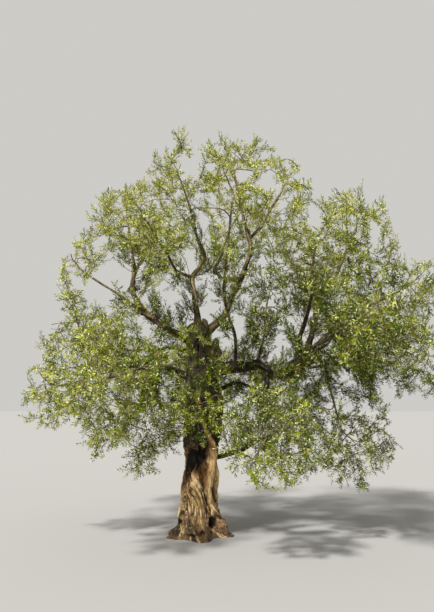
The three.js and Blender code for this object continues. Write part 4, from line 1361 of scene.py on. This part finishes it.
def points_mesh(places, edges=(), **values):
    mesh = bpy.data.meshes.new("points")
    mesh.from_pydata(np.asarray(places).tolist(), np.asarray(edges).tolist(), [])
    for name, value in values.items():
        kind = {"i": "INT", "f": "FLOAT"}[value.dtype.kind] if value.ndim == 1 else "FLOAT_VECTOR"
        layer = mesh.attributes.new(name, kind, "POINT")
        flat = value.astype(np.int32 if kind == "INT" else np.float32).reshape(-1)
        layer.data.foreach_set("vector" if kind == "FLOAT_VECTOR" else "value", flat)
    return mesh


def lines_mesh(twigs, pieces):
    """Twigs as plain lines of a few pieces each, with their thickness at each point."""
    shares = np.linspace(0, 1, pieces + 1)
    places = np.vstack([line.at(shares) for line, _ in twigs])
    thickness = np.concatenate([between(radii, shares) for _, radii in twigs])
    firsts = np.arange(len(twigs))[:, None] * (pieces + 1) + np.arange(pieces)
    edges = np.stack([firsts, firsts + 1], axis=-1).reshape(-1, 2)
    return points_mesh(places, edges, thickness=thickness)


# Leaves.

# The outline of a leaf one long and one wide: shares of its length and width, and how it curls.
LEAF_OUTLINE = [(0, 0, 0), (0.32, -0.48, 0.02), (0.74, -0.4, 0), (1, 0, -0.06), (0.5, 0.5, 0.02)]
LEAF_FACES = [(0, 1, 4), (1, 2, 4), (2, 3, 4)]
# How the pairs of leaves sit: how many a twig has at least, the bare share of a shoot and of a
# branchlet, how wide they spread at its foot and how much less at its tip, in degrees, how much
# they lift, by themselves and with their mass's arch, and face upwards, how big they are at its
# foot and how much less at its tip, and the way that their turns round it count from.
PAIRS = {"fewest": 3, "bare_shoot": 0.12, "bare_branchlet": 0.45, "spread": (78, 34),
         "lift": 0.15, "arched": 0.25, "upwards": 0.35, "size": (1.05, 0.35),
         "aside": (0.3, 0.5, 0.8)}
# How far chance turns that way, and the leaves: round the twig, to it, in degrees, and about
# themselves; and their least and greatest size.
CHANCE = {"aside": 0.2, "round": 0.35, "spread": 16, "facing": 0.5, "sizes": (0.75, 1.15)}


def leaf_points(mass, leaves):
    """Where the leaves of a mass sit, their directions, sizes and tints. They stand in crossed
    pairs along each shoot, wide at its foot and narrow at its tip."""
    random = np.random.default_rng(4000 + mass.index)
    carriers = mass.shoots + mass.branchlets
    lengths = np.array([line.length for line, _ in carriers])
    of_shoots = np.arange(len(carriers)) < len(mass.shoots)
    bare = np.where(of_shoots, PAIRS["bare_shoot"], PAIRS["bare_branchlet"])
    pairs = np.round(lengths * (1 - bare) / leaves.spacing)
    pairs = np.maximum(PAIRS["fewest"], pairs).astype(int)
    carrier = np.repeat(np.arange(len(carriers)), pairs)
    nth = np.arange(pairs.sum()) - np.repeat(np.cumsum(pairs) - pairs, pairs)
    share = bare[carrier] + (1 - bare[carrier]) * (nth + 1) / pairs[carrier]
    bends = np.array([line.at((0, 0.5, 1)) for line, _ in carriers])
    start, middle, end = bends[carrier, 0], bends[carrier, 1], bends[carrier, 2]
    t = share[:, None]
    at = start * (1 - t) * (1 - 2 * t) + 4 * middle * t * (1 - t) + end * t * (2 * t - 1)
    heading = unit(start * (4 * t - 3) + middle * (4 - 8 * t) + end * (4 * t - 1))
    aside_of = unit(random.normal(size=3) * CHANCE["aside"] + PAIRS["aside"])
    first = unit(np.cross(heading, aside_of))
    second = np.cross(heading, first)
    crossed = (nth % 2) * math.pi / 2 + random.uniform(0, math.pi, len(carriers))[carrier]
    results = []
    for side in (0, math.pi):
        turn = crossed + side + random.normal(0, CHANCE["round"], len(nth))
        out = first * np.cos(turn)[:, None] + second * np.sin(turn)[:, None]
        spread = falling(PAIRS["spread"], share)
        spread = np.radians(spread + random.normal(0, CHANCE["spread"], len(nth)))[:, None]
        along = heading * np.cos(spread) + out * np.sin(spread)
        along[:, 2] += PAIRS["lift"] + PAIRS["arched"] * mass.arch
        along = unit(along)
        facing = heading * np.sin(spread) - out * np.cos(spread)
        facing = facing + random.normal(0, CHANCE["facing"], at.shape)
        facing[:, 2] += PAIRS["upwards"]
        size = falling(PAIRS["size"], share ** 3)
        size = size * random.uniform(*CHANCE["sizes"], len(nth))
        results.append((at, along, facing, size))
    at, along, facing, size = (np.concatenate(pair) for pair in zip(*results))
    # Each spray's tint, most often painted light or shade, goes to all its leaves.
    tint = np.concatenate([tints_of(mass, carriers, random)[carrier]] * 2)
    turned = random.uniform(size=len(tint)) < leaves.turned_share
    tint[turned & (tint < SILVER)] = SILVER
    return at, along, facing, size, tint


# How much painted light and shade a spray gets, from: its distance from the crown's heart, as a
# share of the crown's reach each way; its height over the crown's middle, as a share of that
# height;
# how deep in a clump it is; and chance. Over the first level it gets the painted sunlit tint, over
# the second the painted half-light tint, and below that the painted shade tint.
CROWN_REACH = (3.9, 3.0, 3.4)
CROWN_MIDDLE = 4
LIGHT = {"outward": 0.45, "height": 0.3, "clump": 0.3, "chance": 0.15}
LIGHT_LEVELS = (0.66, 0.36)
# How much more painted shade the lower foliage gets for each metre to the right, away from the
# light, and from which height up that fades.
SUN_SIDE = {"loss": 0.05, "fades": (4.2, 5.8)}
# How much more painted light the crown gets over one span of heights, and how much less over
# another.
UPPER_LIGHT = [(0.12, 4.4, 5.4), (-0.1, 6.0, 7.0)]
# How much more painted light the shoots get that stand before the dark trunk and its level limb.
SPRAY_LIGHT = {"trunk": 0.25, "trunk_shoots": 0.15, "east_limb": 0.2}
# Chances under the first are young leaves, and over the second withered ones.
YOUNG_UNDER, WITHERED_OVER = 0.03, 0.995


def tints_of(mass, carriers, random):
    """A tint for each spray, in painted light and shade: the painted sunlit tint outside and above,
    the painted shade tint inside and below; and a few young and withered ones by chance.
    """
    tips = np.array([line.at(1) for line, _ in carriers])
    height = tips[:, 2]
    outward = np.linalg.norm((tips - CROWN_HEART) / CROWN_REACH, axis=1)
    light = (LIGHT["outward"] * outward
             + LIGHT["height"] * (height - CROWN_MIDDLE) / CROWN_MIDDLE
             + LIGHT["clump"] * clumped(tips))
    light -= SUN_SIDE["loss"] * tips[:, 0] * (1 - smoothstep(height, *SUN_SIDE["fades"]))
    for gain, start, end in UPPER_LIGHT:
        light += gain * smoothstep(height, start, end)
    light += SPRAY_LIGHT.get(mass.name, 0)
    light = light + random.normal(0, LIGHT["chance"], len(tips))
    # Painted light and shade: the tint follows how much light the spray would get.
    tint = np.select([light > level for level in LIGHT_LEVELS], [SUNLIT, HALF_LIT], SHADED)
    chance = random.uniform(size=len(tips))
    tint[chance < YOUNG_UNDER] = YOUNG
    tint[chance > WITHERED_OVER] = WITHERED
    return tint


# What a user may change.


class OliveBark(bpy.types.PropertyGroup):
    ring_step: bpy.props.FloatProperty(
        name="Ring Step", description="Height of one ring of the trunk's skin",
        default=0.0115, min=0.005, unit="LENGTH")
    columns: bpy.props.IntProperty(
        name="Columns", description="Faces round the trunk's skin", default=256, min=32)
    rope_depth: bpy.props.FloatProperty(
        name="Rope Depth", description="How far the ropes of wood stand out of the trunk",
        default=0.04, unit="LENGTH")
    fibre_depth: bpy.props.FloatProperty(
        name="Fibre Depth", description="How far the fibres stand out of the ropes",
        default=0.009, unit="LENGTH")
    limb_step: bpy.props.FloatProperty(
        name="Limb Step", description="Length of one face of a limb's skin",
        default=0.014, min=0.005, unit="LENGTH")


class OliveTwigs(bpy.types.PropertyGroup):
    bough_sides: bpy.props.IntProperty(
        name="Bough Sides", description="Faces round a thick twig", default=8, min=3)
    branchlet_sides: bpy.props.IntProperty(
        name="Branchlet Sides", description="Faces round a branchlet", default=4, min=3)
    shoot_sides: bpy.props.IntProperty(
        name="Shoot Sides", description="Faces round a leafy shoot", default=3, min=3)


class OliveLeaves(bpy.types.PropertyGroup):
    length: bpy.props.FloatProperty(
        name="Length", description="Length of a full-grown leaf", default=0.065, unit="LENGTH")
    width: bpy.props.FloatProperty(
        name="Width", description="Width of a full-grown leaf", default=0.0165, unit="LENGTH")
    spacing: bpy.props.FloatProperty(
        name="Spacing", description="Distance between two pairs of leaves on a shoot",
        default=0.0225, min=0.008, unit="LENGTH")
    turned_share: bpy.props.FloatProperty(
        name="Turned Share", description="Share of the leaves that show their silvery side",
        default=0.17, min=0, max=1, subtype="FACTOR")


class OliveStage(bpy.types.PropertyGroup):
    floor_colour: bpy.props.FloatVectorProperty(
        name="Floor", description="Colour of the floor", subtype="COLOR", size=3,
        default=linear("#969490"))
    sun_strength: bpy.props.FloatProperty(
        name="Main Light", description="Strength of the main light", default=5.9)
    fill_strength: bpy.props.FloatProperty(
        name="Fill Light", description="Strength of the light from all round", default=0.66)
    eye_height: bpy.props.FloatProperty(
        name="Eye Height", description="Height of the camera", default=float(EYE[2]),
        unit="LENGTH")
    eye_distance: bpy.props.FloatProperty(
        name="Eye Distance", description="How far before the trunk the camera stands",
        default=float(-EYE[1]), unit="LENGTH")


# The makers.


class OLIVE_OT_trunk(bpy.types.Operator):
    """Make the trunk's bark, with its ropes, hollows and root flare"""

    bl_idname = "olive.trunk"
    bl_label = "Make Trunk"

    def execute(self, context):
        skins = TrunkSkin(context.scene.olive_bark).skins()
        piece = skins.piece("trunk_bark", trunk_finish())
        settle(piece, ["trunk"])
        return {"FINISHED"}


class OLIVE_OT_limbs(bpy.types.Operator):
    """Make the bark of the limbs, one piece for each bough and what forks from it"""

    bl_idname = "olive.limbs"
    bl_label = "Make Limbs"

    def execute(self, context):
        limbs = {limb[0]: (limb, seed) for seed, limb in enumerate(LIMBS, 1)}
        for name, family in LIMB_FAMILIES.items():
            skins = Skins()
            for member in family:
                limb_skin(skins, *limbs[member], context.scene.olive_bark)
            settle(skins.piece(name, limb_finish()), family)
        return {"FINISHED"}


class OLIVE_OT_dead_wood(bpy.types.Operator):
    """Make the two broken limbs"""

    bl_idname = "olive.dead_wood"
    bl_label = "Make Dead Wood"

    def execute(self, context):
        for seed, limb in enumerate(BROKEN, 60):
            skins = Skins()
            broken_skin(skins, limb, seed, context.scene.olive_bark)
            settle(skins.piece("dead_" + limb[0], dead_finish()), [limb[0]])
        return {"FINISHED"}


# How many straight pieces a twig of each kind has.
TWIG_PIECES = {"boughs": 10, "branchlets": FINE_PIECES, "shoots": 2}


def nodes_of(names):
    """The part's nodes of the masses among some names."""
    return [name if name == "trunk_shoots" else name + "_foliage"
            for name in names if name in NAMES]


class OLIVE_OT_twigs(bpy.types.Operator):
    """Make the twigs of every mass, the thick, the middling and the leafy ones"""

    bl_idname = "olive.twigs"
    bl_label = "Make Twigs"

    def execute(self, context):
        sizes = context.scene.olive_twigs
        grown = masses()
        for region, names in REGIONS.items():
            for kind, pieces in TWIG_PIECES.items():
                sides = getattr(sizes, kind[:-1] + "_sides")
                twigs = [twig for name in names for twig in getattr(grown[name], kind)]
                mesh = lines_mesh(twigs, pieces)
                piece = twig_steps().make(f"{region}_{kind}", mesh, Sides=sides)
                settle(piece, nodes_of(names))
        return {"FINISHED"}


class OLIVE_OT_leaves(bpy.types.Operator):
    """Make the leaves, in crossed pairs along every shoot"""

    bl_idname = "olive.leaves"
    bl_label = "Make Leaves"

    def execute(self, context):
        sizes = context.scene.olive_leaves
        outline = bpy.data.meshes.new("leaf_outline")
        outline.from_pydata(LEAF_OUTLINE, [], LEAF_FACES)
        leaf = link("leaf_outline", outline)
        grown = masses()
        for region, names in REGIONS.items():
            found = [leaf_points(grown[name], sizes) for name in names]
            at, along, facing, size, tint = (np.concatenate(part) for part in zip(*found))
            mesh = points_mesh(at, along=along, facing=facing, size=size, tint=tint)
            piece = leaf_steps().make(f"{region}_leaves", mesh, Leaf=leaf, Length=sizes.length,
                                      Width=sizes.width)
            settle(piece, nodes_of(names))
        bpy.data.objects.remove(leaf)
        return {"FINISHED"}


# The stage: half the floor's width, how far the camera sees, the colour of the light from all
# round, and how wide the main light is and how far it is tilted and turned, in degrees.
FLOOR_REACH = 400
SIGHT = 1000
FILL_COLOUR = "#f6f5f0"
SUN = {"width": 6, "tilt": 38, "turn": -38}


class OLIVE_OT_stage(bpy.types.Operator):
    """Make the floor, the lights and the camera"""

    bl_idname = "olive.stage"
    bl_label = "Make Stage"

    def execute(self, context):
        stage = context.scene.olive_stage
        mesh = bpy.data.meshes.new("floor")
        corners = [(x * FLOOR_REACH, y * FLOOR_REACH, 0)
                   for x, y in ((-1, -1), (1, -1), (1, 1), (-1, 1))]
        mesh.from_pydata(corners, [], [(0, 1, 2, 3)])
        finish = Finish("floor", base_color=tuple(stage.floor_colour) + (1,), roughness=0.9)
        mesh.materials.append(finish.material)
        link("floor", mesh)
        world = bpy.data.worlds.new("studio")
        world.use_nodes = True
        fill = world.node_tree.nodes["Background"]
        fill.inputs["Color"].default_value = linear(FILL_COLOUR) + (1,)
        fill.inputs["Strength"].default_value = stage.fill_strength
        context.scene.world = world
        context.scene.view_settings.view_transform = "Standard"
        sun = bpy.data.lights.new("sun", "SUN")
        sun.energy, sun.angle = stage.sun_strength, math.radians(SUN["width"])
        lamp = link("sun", sun)
        lamp.rotation_euler = (math.radians(SUN["tilt"]), 0, math.radians(SUN["turn"]))
        camera = bpy.data.cameras.new("camera")
        camera.lens = PICTURE["distance"] / PICTURE["height"] * camera.sensor_width
        camera.clip_end = SIGHT
        eye = link("camera", camera)
        eye.location = (EYE[0], -stage.eye_distance, stage.eye_height)
        upwards = math.atan(PICTURE["level"] / PICTURE["distance"])
        eye.rotation_euler = (math.radians(90) + upwards, 0, 0)
        context.scene.camera = eye
        return {"FINISHED"}


class OLIVE_PT_tree(bpy.types.Panel):
    """Lists the sizes and the makers of the olive tree"""

    bl_idname = "OLIVE_PT_tree"
    bl_label = "Olive Tree"
    bl_space_type = "VIEW_3D"
    bl_region_type = "UI"
    bl_category = "Olive Tree"

    def draw(self, context):
        for group in GROUPS:
            box = self.layout.box()
            values = getattr(context.scene, group)
            for name in GROUPS[group].__annotations__:
                box.prop(values, name)
        for maker in MAKERS:
            self.layout.operator(maker.bl_idname)


GROUPS = {"olive_bark": OliveBark, "olive_twigs": OliveTwigs, "olive_leaves": OliveLeaves,
          "olive_stage": OliveStage}
MAKERS = [OLIVE_OT_stage, OLIVE_OT_trunk, OLIVE_OT_limbs, OLIVE_OT_dead_wood, OLIVE_OT_twigs,
          OLIVE_OT_leaves]


def register():
    for kind in [*GROUPS.values(), *MAKERS, OLIVE_PT_tree]:
        bpy.utils.register_class(kind)
    for name, kind in GROUPS.items():
        setattr(bpy.types.Scene, name, bpy.props.PointerProperty(type=kind))


def unregister():
    for name in GROUPS:
        delattr(bpy.types.Scene, name)
    for kind in reversed([*GROUPS.values(), *MAKERS, OLIVE_PT_tree]):
        bpy.utils.unregister_class(kind)


def main():
    register()
    bpy.ops.olive.stage()
    bpy.ops.olive.trunk()
    bpy.ops.olive.limbs()
    bpy.ops.olive.dead_wood()
    bpy.ops.olive.twigs()
    bpy.ops.olive.leaves()


if __name__ == "__main__":
    main()
